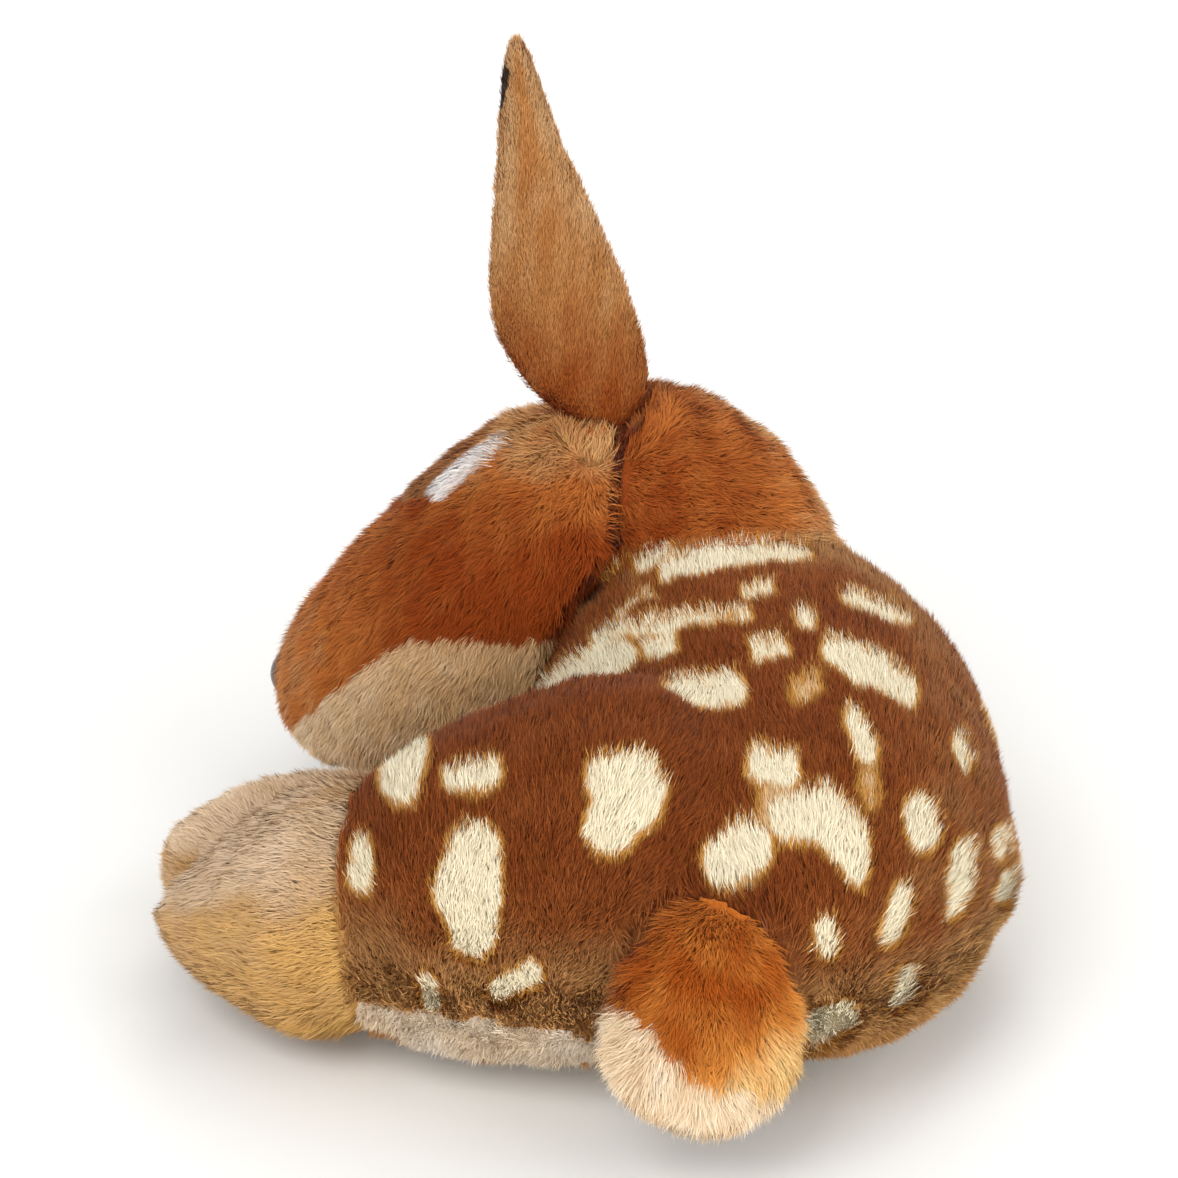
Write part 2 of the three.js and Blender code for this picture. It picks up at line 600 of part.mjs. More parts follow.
// Tail: sewn on along the top edge of its root, where it lifts
const tailWhole = tailForm.solid().subtract(underGround).subtract(torsoClear).subtract(haunchLeftClear)
  .subtract(haunchRightClear);
const tailUp = tailForm.directions(tailSeamAlong).up;
const tailSeamPoint = tailForm.middle(tailSeamAlong).addScaledVector(tailUp, tailHeight * tailSeamShare);
const tailSeamTop = tailSeamPoint.clone().addScaledVector(tailUp, seamGap);
const tailTop = tailWhole.subtract(beyond(tailSeamTop, tailUp.clone().negate()));
const tailUnderside = tailWhole.subtract(beyond(tailSeamPoint, tailUp));
const tailPivot = tailForm.skin(tailPivotAlong, Math.PI / 2).addScaledVector(tailUp, seamGap);

// Colours and the finish of plush and plastic
const finishes = {
  brown: { color: '#5e3318', roughness: 0.95 },
  rust: { color: '#a5521f', roughness: 0.95 },
  tan: { color: '#c69a5e', roughness: 0.95 },
  cream: { color: '#e6d5b4', roughness: 0.95 },
  orange: { color: '#b5671f', roughness: 0.95 },
  fibre: { color: '#f2f2ee', roughness: 1 },
  black: { color: '#0d0b0a', roughness: 0.18 },
  white: { color: '#dcdcd8', roughness: 0.6 },
};

function piece(name, solid, finish) {
  const material = new THREE.MeshStandardMaterial({ metalness: 0, ...finishes[finish] });
  const mesh = new THREE.Mesh(geometryOf(solid), material);
  mesh.name = name;
  return mesh;
}

function assembly(...pieces) {
  const group = new THREE.Group();
  group.add(...pieces);
  return group;
}

const trunk = assembly(
  piece('back_panel', backPanel, 'brown'),
  piece('belly_panel', bellyPanel, 'cream'),
  piece('torso_filling', torsoFilling, 'fibre'),
  piece('neck', neck, 'rust'),
  piece('haunch_left', haunchLeft, 'brown'),
  piece('haunch_right', haunchRight, 'brown'),
  piece('hock_left', hockLeft, 'tan'),
  piece('hock_right', hockRight, 'tan'),
  piece('hind_foot_left', footLeft, 'tan'),
  piece('hind_foot_right', footRight, 'tan'),
  piece('fore_leg_left', foreLegLeft, 'tan'),
  piece('fore_leg_right', foreLegRight, 'tan'),
);
const head = assembly(
  piece('head_cover', headTop, 'rust'),
  piece('chin_panel', chinPanel, 'cream'),
  piece('head_filling', headFilling, 'fibre'),
  piece('nose', nose, 'black'),
  piece('nose_washer', washerSolid(nosePlace, washerDepth), 'white'),
);
for (const [side, place] of Object.entries(eyePlaces)) {
  const patch = patchSolid(side).subtract(bores).subtract(earRooms).subtract(neckSide);
  head.add(piece(`eye_patch_${side}`, patch, 'cream'));
  head.add(piece(`eye_${side}`, eyeSolid(place), 'black'));
  head.add(piece(`eye_washer_${side}`, washerSolid(place, washerDepth + eyeLift), 'white'));
}
for (const [side, ear] of Object.entries({ left: earLeft, right: earRight })) {
  const back = ear.back.solid();
  const lining = ear.lining.solid().subtract(ear.back.solid(liningGap)).subtract(headClear);
  head.add(piece(`ear_${side}_back`, back, 'tan'), piece(`ear_${side}_lining`, lining, 'cream'));
}
const tail = assembly(
  piece('tail_top', tailTop, 'orange'),
  piece('tail_underside', tailUnderside, 'cream'),
);

// The origin is under the middle of the whole toy, on the ground
const toy = assembly(trunk, head, tail);
const bounds = new THREE.Box3().setFromObject(toy);
const middle = bounds.getCenter(new THREE.Vector3());
toy.position.set(-middle.x, -middle.y, -bounds.min.z);

// Where each moving piece turns, in the toy's own frame
const hinge = (point, axis, limits) => ({ point: point.clone().add(toy.position), axis, limits });
head.userData = { turn: hinge(foldPoint, foldNormal, headTurnLimits) };
head.userData.earLeft = hinge(earLeft.pivot, earAxis(earLeft), earBendLimits);
head.userData.earRight = hinge(earRight.pivot, earAxis(earRight), earBendLimits);
tail.userData = { lift: hinge(tailPivot, new THREE.Vector3(-1, 0, 0), tailLiftLimits) };

export default toy;
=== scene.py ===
"""A plush fawn that lies curled up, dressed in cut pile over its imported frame.

Every stuffed piece is a smooth skin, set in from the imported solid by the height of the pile, with the
pile planted on it as bent slivers. Metres, Z up, the rump towards -Y, the hind leg towards -X.
"""

import json
import logging
import math
from dataclasses import dataclass, field
from enum import Enum
from typing import Callable, Sequence

import bpy
import numpy as np
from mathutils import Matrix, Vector
from mathutils.bvhtree import BVHTree

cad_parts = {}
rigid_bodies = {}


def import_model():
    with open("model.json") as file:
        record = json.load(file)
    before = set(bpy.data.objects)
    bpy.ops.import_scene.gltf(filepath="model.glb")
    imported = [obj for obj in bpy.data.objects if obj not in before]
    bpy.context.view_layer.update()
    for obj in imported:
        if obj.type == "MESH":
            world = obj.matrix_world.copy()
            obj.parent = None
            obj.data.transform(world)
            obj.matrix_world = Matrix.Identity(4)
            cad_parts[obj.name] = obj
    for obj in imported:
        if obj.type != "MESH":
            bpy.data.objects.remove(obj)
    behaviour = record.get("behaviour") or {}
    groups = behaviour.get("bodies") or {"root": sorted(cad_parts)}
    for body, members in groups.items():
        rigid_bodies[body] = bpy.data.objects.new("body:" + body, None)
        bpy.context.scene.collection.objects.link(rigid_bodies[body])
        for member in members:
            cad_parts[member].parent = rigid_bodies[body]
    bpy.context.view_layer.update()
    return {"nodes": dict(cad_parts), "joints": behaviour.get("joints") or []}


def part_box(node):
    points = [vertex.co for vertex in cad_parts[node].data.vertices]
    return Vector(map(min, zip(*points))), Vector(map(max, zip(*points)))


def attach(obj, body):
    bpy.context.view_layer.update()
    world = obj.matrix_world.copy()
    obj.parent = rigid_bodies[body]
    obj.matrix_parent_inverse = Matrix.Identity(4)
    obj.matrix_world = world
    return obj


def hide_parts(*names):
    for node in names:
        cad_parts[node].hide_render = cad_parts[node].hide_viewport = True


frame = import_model()

LOG = logging.getLogger("fawn")
MM = 0.001
PALETTE = "Pile"  # the map that holds each fibre's pigment across and its height up
BAKED = "OFBake"  # the same places, in a second map

Places = np.ndarray  # rows of x, y, z in metres
Ways = np.ndarray  # rows of directions
Shades = np.ndarray  # one number a row


def linear(code: str) -> tuple[float, float, float, float]:
    """Turns a colour from sRGB to linear.

    Args:
        code: Six hexadecimal digits after a hash.

    Returns:
        Red, green, blue and alpha.
    """
    parts = [int(code[i : i + 2], 16) / 255 for i in (1, 3, 5)]
    return tuple(c / 12.92 if c <= 0.04045 else ((c + 0.055) / 1.055) ** 2.4 for c in parts) + (1.0,)


def add_node(tree: bpy.types.NodeTree, kind: str, inputs: dict, **settings: object) -> bpy.types.Node:
    """Adds a node with its settings, values and links.

    Args:
        tree: The tree that the node joins.
        kind: The node's type name, without the word Shader before it.
        inputs: For each input's name or number, a value or the output that feeds it.
        **settings: Attributes of the node.

    Returns:
        The node.
    """
    node = tree.nodes.new("Shader" + kind)
    for name, value in settings.items():
        setattr(node, name, value)
    for name, value in inputs.items():
        if isinstance(value, bpy.types.NodeSocket):
            tree.links.new(value, node.inputs[name])
        else:
            node.inputs[name].default_value = value
    return node


@dataclass(frozen=True)
class Finish:
    """What a surface is made of, as one material under its own name.

    A subclass says in shader() how it looks. The slot is the material's name in the library.
    """

    name: str
    slot: str

    def shader(self, tree: bpy.types.NodeTree) -> bpy.types.Node:
        """Adds the nodes of the finish.

        Args:
            tree: The material's tree, still empty.

        Returns:
            The node that shades the surface.
        """
        raise NotImplementedError

    def material(self) -> bpy.types.Material:
        """Returns the finish's material, made on first use."""
        if self.name in bpy.data.materials:
            return bpy.data.materials[self.name]
        material = bpy.data.materials.new(self.name)
        material.use_nodes = True
        tree = material.node_tree
        tree.nodes.clear()
        add_node(tree, "NodeOutputMaterial", {0: self.shader(tree).outputs[0]})
        return material


class End(Enum):
    """The two ends of a fibre."""

    ROOT = "root"
    TIP = "tip"


@dataclass(frozen=True)
class Pigment:
    """One dye of a printed pile: its place on the palette, and its colours at root and tip. The darker root
    colour is painted shade between the fibres, the lighter tip colour a painted highlight.
    """

    at: float
    root: str
    tip: str


@dataclass(frozen=True)
class PlushFinish(Finish):
    """Acrylic cut pile on a knitted backing, printed with dyes and brushed.

    The fibres are matt with a soft sheen where light grazes them. They are darker at their roots, painted
    shade between them, and lighter at their tips, a painted highlight where the cut ends catch the light.
    """

    pigments: tuple[Pigment, ...]
    roughness: float = 0.8
    specular: float = 0.1
    sheen: float = 0.06
    sheen_roughness: float = 0.45

    def ramp(
        self, tree: bpy.types.NodeTree, across: bpy.types.NodeSocket, end: End
    ) -> bpy.types.NodeSocket:
        """Adds the row of dyes at one end of the fibres.

        Args:
            tree: The material's tree.
            across: The place on the palette.
            end: Which end it is.

        Returns:
            The colour at that place.
        """
        node = add_node(tree, "NodeValToRGB", {0: across})
        stops = node.color_ramp.elements
        for place, dye in enumerate(self.pigments):
            stop = stops[place] if place < len(stops) else stops.new(dye.at)
            stop.position = dye.at
            stop.color = linear(getattr(dye, end.value))
        return node.outputs[0]

    def shader(self, tree: bpy.types.NodeTree) -> bpy.types.Node:
        """Adds the pile's nodes: the dye is read across the palette and shaded up the fibre.

        Args:
            tree: The material's tree, still empty.

        Returns:
            The node that shades the fibres.
        """
        palette = add_node(tree, "NodeUVMap", {}, uv_map=PALETTE)
        place = add_node(tree, "NodeSeparateXYZ", {0: palette.outputs[0]})
        root, tip = (self.ramp(tree, place.outputs[0], end) for end in End)
        colour = add_node(tree, "NodeMix", {0: place.outputs[1], 6: root, 7: tip}, data_type="RGBA")
        inputs = {
            "Base Color": colour.outputs[2],
            "Roughness": self.roughness,
            "Specular IOR Level": self.specular,
            "Sheen Weight": self.sheen,
            "Sheen Roughness": self.sheen_roughness,
        }
        return add_node(tree, "NodeBsdfPrincipled", inputs)


@dataclass(frozen=True)
class PlasticFinish(Finish):
    """Injection-moulded plastic: one colour with a slight unevenness of the polish."""

    colour: str
    deep: str
    roughness: float
    coat: float = 0.0
    coat_roughness: float = 0.05
    specular: float = 0.5
    grain_mm: float = 0.8
    bump_mm: float = 0.01
    bump_strength: float = 0.3

    def shader(self, tree: bpy.types.NodeTree) -> bpy.types.Node:
        """Adds the plastic's nodes: one fine noise gives its two tones and its unevenness.

        Args:
            tree: The material's tree, still empty.

        Returns:
            The node that shades the plastic.
        """
        where = add_node(tree, "NodeTexCoord", {}).outputs["Object"]
        scale = 1 / (self.grain_mm * MM)
        noise = add_node(tree, "NodeTexNoise", {"Vector": where, "Scale": scale, "Detail": 3.0}).outputs[0]
        tones = {0: noise, 6: linear(self.deep), 7: linear(self.colour)}
        colour = add_node(tree, "NodeMix", tones, data_type="RGBA")
        dents = {"Strength": self.bump_strength, "Distance": self.bump_mm * MM, "Height": noise}
        inputs = {
            "Base Color": colour.outputs[2],
            "Roughness": self.roughness,
            "Specular IOR Level": self.specular,
            "Coat Weight": self.coat,
            "Coat Roughness": self.coat_roughness,
            "Normal": add_node(tree, "NodeBump", dents).outputs[0],
        }
        return add_node(tree, "NodeBsdfPrincipled", inputs)


@dataclass(frozen=True)
class PaintFinish(Finish):
    """Matt paint, for the studio's floor."""

    colour: str
    roughness: float = 0.9
    specular: float = 0.1

    def shader(self, tree: bpy.types.NodeTree) -> bpy.types.Node:
        """Adds the paint's one node.

        Args:
            tree: The material's tree, still empty.

        Returns:
            The node that shades the paint.
        """
        inputs = {
            "Base Color": linear(self.colour),
            "Roughness": self.roughness,
            "Specular IOR Level": self.specular,
        }
        return add_node(tree, "NodeBsdfPrincipled", inputs)


SPOTTED = PlushFinish(
    "Printed spotted pile",
    "brown_plush",
    (
        Pigment(0.05, "#E3D5B0", "#FFF6DC"),  # the spots
        Pigment(0.22, "#A8691E", "#DDA552"),  # their golden rims
        Pigment(0.42, "#401403", "#8E4619"),  # the dark brown of the back
        Pigment(0.56, "#521E06", "#A45C2A"),  # the warmer brown of the flanks
        Pigment(0.68, "#6A3614", "#BC8650"),  # the tan along the crest of the back
        Pigment(0.95, "#9A5C22", "#ECBA78"),  # the gold low on the thighs, lightened further as painted light where the skin turns down into shade
    ),
)
RUST = PlushFinish(
    "Rust pile",
    "rust_plush",
    (
        Pigment(0.05, "#782C0A", "#A04814"),  # the cheek
        Pigment(0.40, "#A04E1E", "#CE7C38"),  # the neck's outer side
        Pigment(0.80, "#B4783C", "#EABC80"),  # the muzzle, and the painted highlight on the top of the head
        Pigment(0.97, "#D8CDC6", "#FFF8F4"),  # the pale stripe
    ),
)
PATCH = PlushFinish(
    "Pale pile round the eyes",
    "cream_plush",
    (
        Pigment(0.10, "#7A4420", "#B07240"),  # the lashes
        Pigment(0.40, "#8A5A34", "#C08C5C"),
        Pigment(0.70, "#CFC4BE", "#F6EEEA"),
        Pigment(0.95, "#DCD4CF", "#FFFAF8"),  # the patch itself
    ),
)
TAN = PlushFinish(
    "Tan pile",
    "tan_plush",
    (
        Pigment(0.05, "#B07C34", "#EEC074"),  # gold beside the thigh
        Pigment(0.50, "#9C7040", "#DCB27C"),  # the hock
        Pigment(0.95, "#BC9874", "#F0D6B6"),  # paler and greyer at the toes, and the painted highlight along the top
    ),
)
EAR = PlushFinish(
    "Short tan pile",
    "tan_plush",
    (
        Pigment(0.02, "#2A1B14", "#3C2A20"),  # the dark edge near the tip
        Pigment(0.05, "#7E3410", "#AE5A20"),  # rust at the ear's foot
        Pigment(0.50, "#96582A", "#D09456"),  # the middle of its back
        Pigment(0.95, "#B8864C", "#EEC896"),  # its light edges
    ),
)
LINING = PlushFinish(
    "Pale short pile",
    "cream_plush",
    (
        Pigment(0.10, "#17120F", "#2A221D"),  # the dark tip
        Pigment(0.20, "#B9B0A6", "#E8E0D6"),  # the grey white below it
        Pigment(0.95, "#D8D2C8", "#FBF8F2"),
    ),
)
CREAM = PlushFinish(
    "Cream pile",
    "cream_plush",
    (
        Pigment(0.05, "#BC9060", "#E6BC88"),  # the jaw
        Pigment(0.45, "#E0C6A0", "#FFEACA"),  # the belly and the tail's underside
        Pigment(0.90, "#E8DED4", "#FFFAF4"),
    ),
)
ORANGE = PlushFinish(
    "Orange pile",
    "orange_plush",
    (
        Pigment(0.05, "#8E3C0A", "#BC5E1A"),  # the painted shade of the fold at the tail's root
        Pigment(0.50, "#C0701E", "#ECA04A"),  # the middle of the flap
        Pigment(0.95, "#EEB45E", "#FFE4A4"),  # gold low down
    ),
)
EYE_BLACK = PlasticFinish(
    "Polished black acrylic", "black_plastic", "#0B0908", "#1C120C", 0.08, coat=0.25, specular=0.3
)
NOSE_BLACK = PlasticFinish(
    "Moulded black plastic", "black_plastic", "#0E0C0B", "#171412", 0.25, specular=0.3, grain_mm=0.5
)
WASHER = PlasticFinish("Moulded polyethylene", "white_plastic", "#E6E6E1", "#D6D6D0", 0.5)
FLOOR = PaintFinish("Painted floor", "floor", "#F3F2EF")


class Waves:
    """A smooth random field made of sine waves, mostly between -1 and 1."""

    SPREAD = (0.7, 1.5)  # the shortest and the longest wave, as shares of the usual one

    def __init__(self, seed: int, length_mm: float, count: int = 9) -> None:
        """Draws the waves.

        Args:
            seed: Fixes the waves.
            length_mm: The usual wavelength.
            count: How many waves there are.
        """
        draw = np.random.default_rng(seed)
        turns = draw.normal(size=(count, 3))
        turns /= np.linalg.norm(turns, axis=1, keepdims=True)
        lengths = length_mm * MM * draw.uniform(*self.SPREAD, size=(count, 1))
        self.ways = (2 * math.pi * turns / lengths).astype(np.float32)
        self.starts = draw.uniform(0, 2 * math.pi, size=count).astype(np.float32)

    def at(self, places: Places) -> Shades:
        """Returns the field's value at each place."""
        return np.sin(places @ self.ways.T + self.starts).sum(1) / math.sqrt(len(self.starts))


def unit(rows: Ways) -> Ways:
    """Returns the rows, each brought to length one."""
    return rows / np.maximum(np.linalg.norm(rows, axis=1, keepdims=True), 1e-9)


def smooth_step(value: Shades, low: float, high: float) -> Shades:
    """Returns 0 below low, 1 above high, and a smooth climb between them."""
    share = np.clip((value - low) / (high - low), 0, 1)
    return share * share * (3 - 2 * share)


@dataclass(frozen=True)
class PhotoCamera:
    """The place that the toy is looked at from, as fitted to its outline.

    The aim is measured from the low corner of the trunk's filling, so that it goes where the toy goes.
    """

    aim_from_filling: tuple[float, float, float] = (10.3 * MM, 115.64 * MM, 75.34 * MM)
    distance: float = 1.0
    elevation: float = math.radians(25)
    focal_pixels: float = 4255.0
    frame_pixels: float = 1178.0
    sensor_mm: float = 36.0

    @property
    def aim(self) -> Vector:
        """The point in the middle of the view."""
        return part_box("torso_filling")[0] + Vector(self.aim_from_filling)

    @property
    def forward(self) -> Vector:
        """The way that the camera looks."""
        return Vector((0, math.cos(self.elevation), -math.sin(self.elevation)))

    @property
    def up(self) -> Vector:
        """The way up in the picture."""
        return Vector((0, math.sin(self.elevation), math.cos(self.elevation)))

    @property
    def place(self) -> Vector:
        """Where the camera stands."""
        return self.aim - self.forward * self.distance

    @property
    def pixel_mm(self) -> float:
        """The size of a pixel at the aim, in millimetres."""
        return self.distance / self.focal_pixels / MM

    def pixels(self, places: Places) -> np.ndarray:
        """Projects places to the picture.

        Args:
            places: Rows of x, y, z.

        Returns:
            Rows of x and y in pixels, from the top left corner.
        """
        relative = places - np.array(self.place)
        depth = relative @ np.array(self.forward)
        across = relative[:, 0] / depth * self.focal_pixels
        rise = relative @ np.array(self.up) / depth * self.focal_pixels
        middle = self.frame_pixels / 2
        return np.stack([middle + across, middle - rise], 1)

    def ray(self, x: float, y: float) -> Vector:
        """Returns the direction that a pixel looks along.

        Args:
            x: The pixel across.
            y: The pixel down.

        Returns:
            The direction, of length one.
        """
        middle = self.frame_pixels / 2
        across = Vector((1, 0, 0)) * (x - middle)
        return (self.forward * self.focal_pixels + across - self.up * (y - middle)).normalized()

    def build(self) -> bpy.types.Object:
        """Adds the camera to the scene and returns it."""
        data = bpy.data.cameras.new("photo_camera")
        data.sensor_width = self.sensor_mm
        data.lens = self.focal_pixels / self.frame_pixels * self.sensor_mm
        data.clip_start, data.clip_end = 0.01, 20
        camera = bpy.data.objects.new("photo_camera", data)
        camera.location = self.place
        camera.rotation_euler = (math.pi / 2 - self.elevation, 0, 0)
        bpy.context.scene.collection.objects.link(camera)
        bpy.context.scene.camera = camera
        return camera


@dataclass(frozen=True)
class Lamp:
    """A soft square lamp: where it hangs, how long its sides are, and its power in watts."""

    name: str
    place: tuple[float, float, float]
    side: float
    watts: float

    def build(self, aim: Vector) -> None:
        """Hangs the lamp, turned to the aim.

        Args:
            aim: The point that the lamp faces.
        """
        data = bpy.data.lights.new(self.name, "AREA")
        data.size, data.energy = self.side, self.watts
        lamp = bpy.data.objects.new(self.name, data)
        lamp.location = self.place
        lamp.rotation_euler = (aim - Vector(self.place)).to_track_quat("-Z", "Y").to_euler()
        bpy.context.scene.collection.objects.link(lamp)


@dataclass
class Studio:
    """A pale floor and soft light from above, with a white room behind."""

    floor_side: float = 8.0
    room_light: float = 0.62
    aim: Vector = field(default_factory=lambda: Vector((0, 0, 60 * MM)))
    lamps: tuple[Lamp, ...] = (
        Lamp("key_lamp", (-0.8, -1.1, 1.5), 1.2, 16),
        Lamp("front_lamp", (0.0, -1.7, 0.28), 1.2, 15),
        Lamp("fill_lamp", (1.3, -0.7, 0.9), 1.4, 10),
        Lamp("back_lamp", (0.3, 1.3, 1.2), 1.2, 10),
    )

    def build_floor(self) -> None:
        """Adds the painted floor under the toy."""
        deselect()
        bpy.ops.mesh.primitive_plane_add(size=self.floor_side, location=(0, 0, 0))
        floor = bpy.context.object
        floor.name = "studio_floor"
        floor.data.materials.append(FLOOR.material())

    def build_room(self) -> None:
        """Adds the room, which looks white whatever light it gives the toy."""
        world = bpy.data.worlds.new("White room")
        bpy.context.scene.world = world
        world.use_nodes = True
        tree = world.node_tree
        tree.nodes.clear()
        path = add_node(tree, "NodeLightPath", {}).outputs
        light, seen = (
            add_node(tree, "NodeBackground", {"Color": (1, 1, 1, 1), "Strength": strength})
            for strength in (self.room_light, 1.0)
        )
        rays = {0: path["Is Camera Ray"], 1: path["Is Glossy Ray"]}
        either = add_node(tree, "NodeMath", rays, operation="MAXIMUM")
        mixed = add_node(
            tree, "NodeMixShader", {0: either.outputs[0], 1: light.outputs[0], 2: seen.outputs[0]}
        )
        add_node(tree, "NodeOutputWorld", {0: mixed.outputs[0]})

    def build(self) -> None:
        """Adds the floor, the room and the lamps."""
        self.build_floor()
        self.build_room()
        for lamp in self.lamps:
            lamp.build(self.aim)
        bpy.context.scene.view_settings.view_transform = "Standard"


def deselect() -> None:
    """Deselects every object."""
    bpy.ops.object.select_all(action="DESELECT")


def pick(piece: bpy.types.Object) -> None:
    """Makes the piece the only selected and the active one.

    Args:
        piece: The piece.
    """
    deselect()
    piece.select_set(True)
    bpy.context.view_layer.objects.active = piece


def apply_modifier(piece: bpy.types.Object, kind: str, **settings: object) -> None:
    """Adds a modifier to the piece and applies it.

    Args:
        piece: The piece.
        kind: The modifier's type.
        **settings: The modifier's settings.
    """
    pick(piece)
    modifier = piece.modifiers.new(kind.lower(), kind)
    for name, value in settings.items():
        setattr(modifier, name, value)
    bpy.ops.object.modifier_apply(modifier=modifier.name)


def copy_nodes(name: str, nodes: Sequence[str]) -> bpy.types.Object:
    """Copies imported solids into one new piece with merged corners.

    Args:
        name: The piece's name.
        nodes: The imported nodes.

    Returns:
        The piece.
    """
    copies = []
    for node in nodes:
        data = frame["nodes"][node].data.copy()
        data.materials.clear()
        copies.append(bpy.data.objects.new(name, data))
        bpy.context.scene.collection.objects.link(copies[-1])
    deselect()
    for copy in copies:
        copy.select_set(True)
    bpy.context.view_layer.objects.active = copies[0]
    if len(copies) > 1:
        bpy.ops.object.join()
    piece = bpy.context.view_layer.objects.active
    bpy.ops.object.mode_set(mode="EDIT")
    bpy.ops.mesh.select_all(action="SELECT")
    bpy.ops.mesh.remove_doubles(threshold=0.01 * MM)
    bpy.ops.object.mode_set(mode="OBJECT")
    piece.name = name
    return piece


def corners(mesh: bpy.types.Mesh, what: str = "co") -> np.ndarray:
    """Returns a value of three numbers for each vertex of the mesh.

    Args:
        mesh: The mesh.
        what: The name of the value.

    Returns:
        One row a vertex.
    """
    rows = np.empty(len(mesh.vertices) * 3, np.float32)
    mesh.vertices.foreach_get(what, rows)
    return rows.reshape(-1, 3).astype(np.float64)


def move_corners(mesh: bpy.types.Mesh, places: Places) -> None:
    """Moves the vertices of the mesh to the places."""
    mesh.vertices.foreach_set("co", places.astype(np.float32).ravel())
    mesh.update()


def triangles(mesh: bpy.types.Mesh) -> np.ndarray:
    """Returns the vertices of each triangle of the mesh.

    Args:
        mesh: The mesh.

    Returns:
        Three vertex numbers a row.
    """
    mesh.calc_loop_triangles()
    rows = np.empty(len(mesh.loop_triangles) * 3, np.int32)
    mesh.loop_triangles.foreach_get("vertices", rows)
    return rows.reshape(-1, 3)


def tree_of(nodes: Sequence[str]) -> BVHTree:
    """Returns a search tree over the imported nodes' surfaces.

    Args:
        nodes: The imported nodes.

    Returns:
        The tree.
    """
    points, faces = [], []
    for node in nodes:
        mesh = frame["nodes"][node].data
        faces += (triangles(mesh) + len(points)).tolist()
        points += corners(mesh).tolist()
    return BVHTree.FromPolygons(points, faces)


def reach(tree: BVHTree, places: Places, most: float) -> Shades:
    """Returns how far each place is from the tree's surface, or most where it is further."""
    found = (tree.find_nearest(place, most)[3] for place in places.tolist())
    return np.array([most if far is None else far for far in found])


@dataclass
class Skin:
    """The backing under the pile: a closed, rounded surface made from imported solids.

    A voxel size of zero keeps the solid's own faces, as the thin ears need. After build(), outer holds
    the surface at the height of the pile's tips, and open_share is 0 at each corner that touches one
    of the nodes in beside and 1 at those that are clear of them.
    """

    name: str
    nodes: tuple[str, ...]
    beside: tuple[str, ...] = ()
    voxel_mm: float = 2.0
    inset_mm: float = 3.0
    smoothing: int = 14
    fill_mm: float = 3.0
    piece: bpy.types.Object = field(init=False)
    open_share: np.ndarray = field(init=False)
    outer: Places = field(init=False)

    SEARCH_MM = 6.0  # how far a piece beside the skin is looked for
    CLOSE_MM, CLEAR_MM = 0.8, 3.0  # the gaps at which the skin counts as covered and as open
    COVERED_INSET = 0.25  # the share of the inset that is kept where it is covered
    FLOOR_MM = 0.4  # how high the skin stays above the floor
    EASINGS, EASING = 26, 0.6  # how often, and how strongly, the creases are evened out

    def build(self) -> "Skin":
        """Makes the surface, and notes which of it faces another piece closely.

        Returns:
            The skin itself.
        """
        self.piece = copy_nodes(self.name, self.nodes)
        if self.voxel_mm:
            apply_modifier(self.piece, "REMESH", mode="VOXEL", voxel_size=self.voxel_mm * MM)
            self.keep_outside()
        else:
            apply_modifier(self.piece, "SUBSURF", levels=3, render_levels=3)
        apply_modifier(self.piece, "SMOOTH", factor=0.5, iterations=self.smoothing)
        mesh = self.piece.data
        if self.fill_mm:
            self.fill_creases()
        self.outer = places = corners(mesh)
        self.open_share = np.ones(len(places))
        if self.beside:
            gaps = reach(tree_of(self.beside), places, self.SEARCH_MM * MM)
            self.open_share = smooth_step(gaps, self.CLOSE_MM * MM, self.CLEAR_MM * MM)
        share = self.COVERED_INSET + (1 - self.COVERED_INSET) * self.open_share
        places = places - corners(mesh, "normal") * (self.inset_mm * MM * share)[:, None]
        places[:, 2] = np.maximum(places[:, 2], self.FLOOR_MM * MM)
        move_corners(mesh, places)
        mesh.shade_smooth()
        return self

    def fill_creases(self) -> None:
        """Raises the bottoms of the creases, which the pile of a sewn toy hides."""
        mesh = self.piece.data
        places, ways = corners(mesh), corners(mesh, "normal")
        edges = np.empty(len(mesh.edges) * 2, np.int32)
        mesh.edges.foreach_get("vertices", edges)
        first, second = edges.reshape(-1, 2).T
        count = len(places)
        shares = np.bincount(first, minlength=count) + np.bincount(second, minlength=count)
        eased = places.copy()
        for _ in range(self.EASINGS):
            sums = [
                np.bincount(first, eased[second, k], count) + np.bincount(second, eased[first, k], count)
                for k in range(3)
            ]
            eased = (1 - self.EASING) * eased + self.EASING * np.stack(sums, 1) / shares[:, None]
        lack = np.clip(((eased - places) * ways).sum(1), 0, self.fill_mm * MM)
        move_corners(mesh, places + ways * lack[:, None])

    def keep_outside(self) -> None:
        """Deletes closed shells inside the outer one."""
        pick(self.piece)
        bpy.ops.object.mode_set(mode="EDIT")
        bpy.ops.mesh.select_all(action="DESELECT")
        bpy.ops.object.mode_set(mode="OBJECT")
        furthest = int(corners(self.piece.data)[:, 2].argmax())
        self.piece.data.vertices[furthest].select = True
        bpy.ops.object.mode_set(mode="EDIT")
        bpy.ops.mesh.select_linked()
        bpy.ops.mesh.select_all(action="INVERT")
        bpy.ops.mesh.delete(type="VERT")
        bpy.ops.object.mode_set(mode="OBJECT")

    def tree(self) -> BVHTree:
        """Returns a search tree over the skin."""
        return BVHTree.FromPolygons(corners(self.piece.data).tolist(), triangles(self.piece.data).tolist())

    def middles(self) -> Places:
        """Returns the middle of each triangle, at the height of the tips of the pile."""
        return self.outer[triangles(self.piece.data)].mean(1)


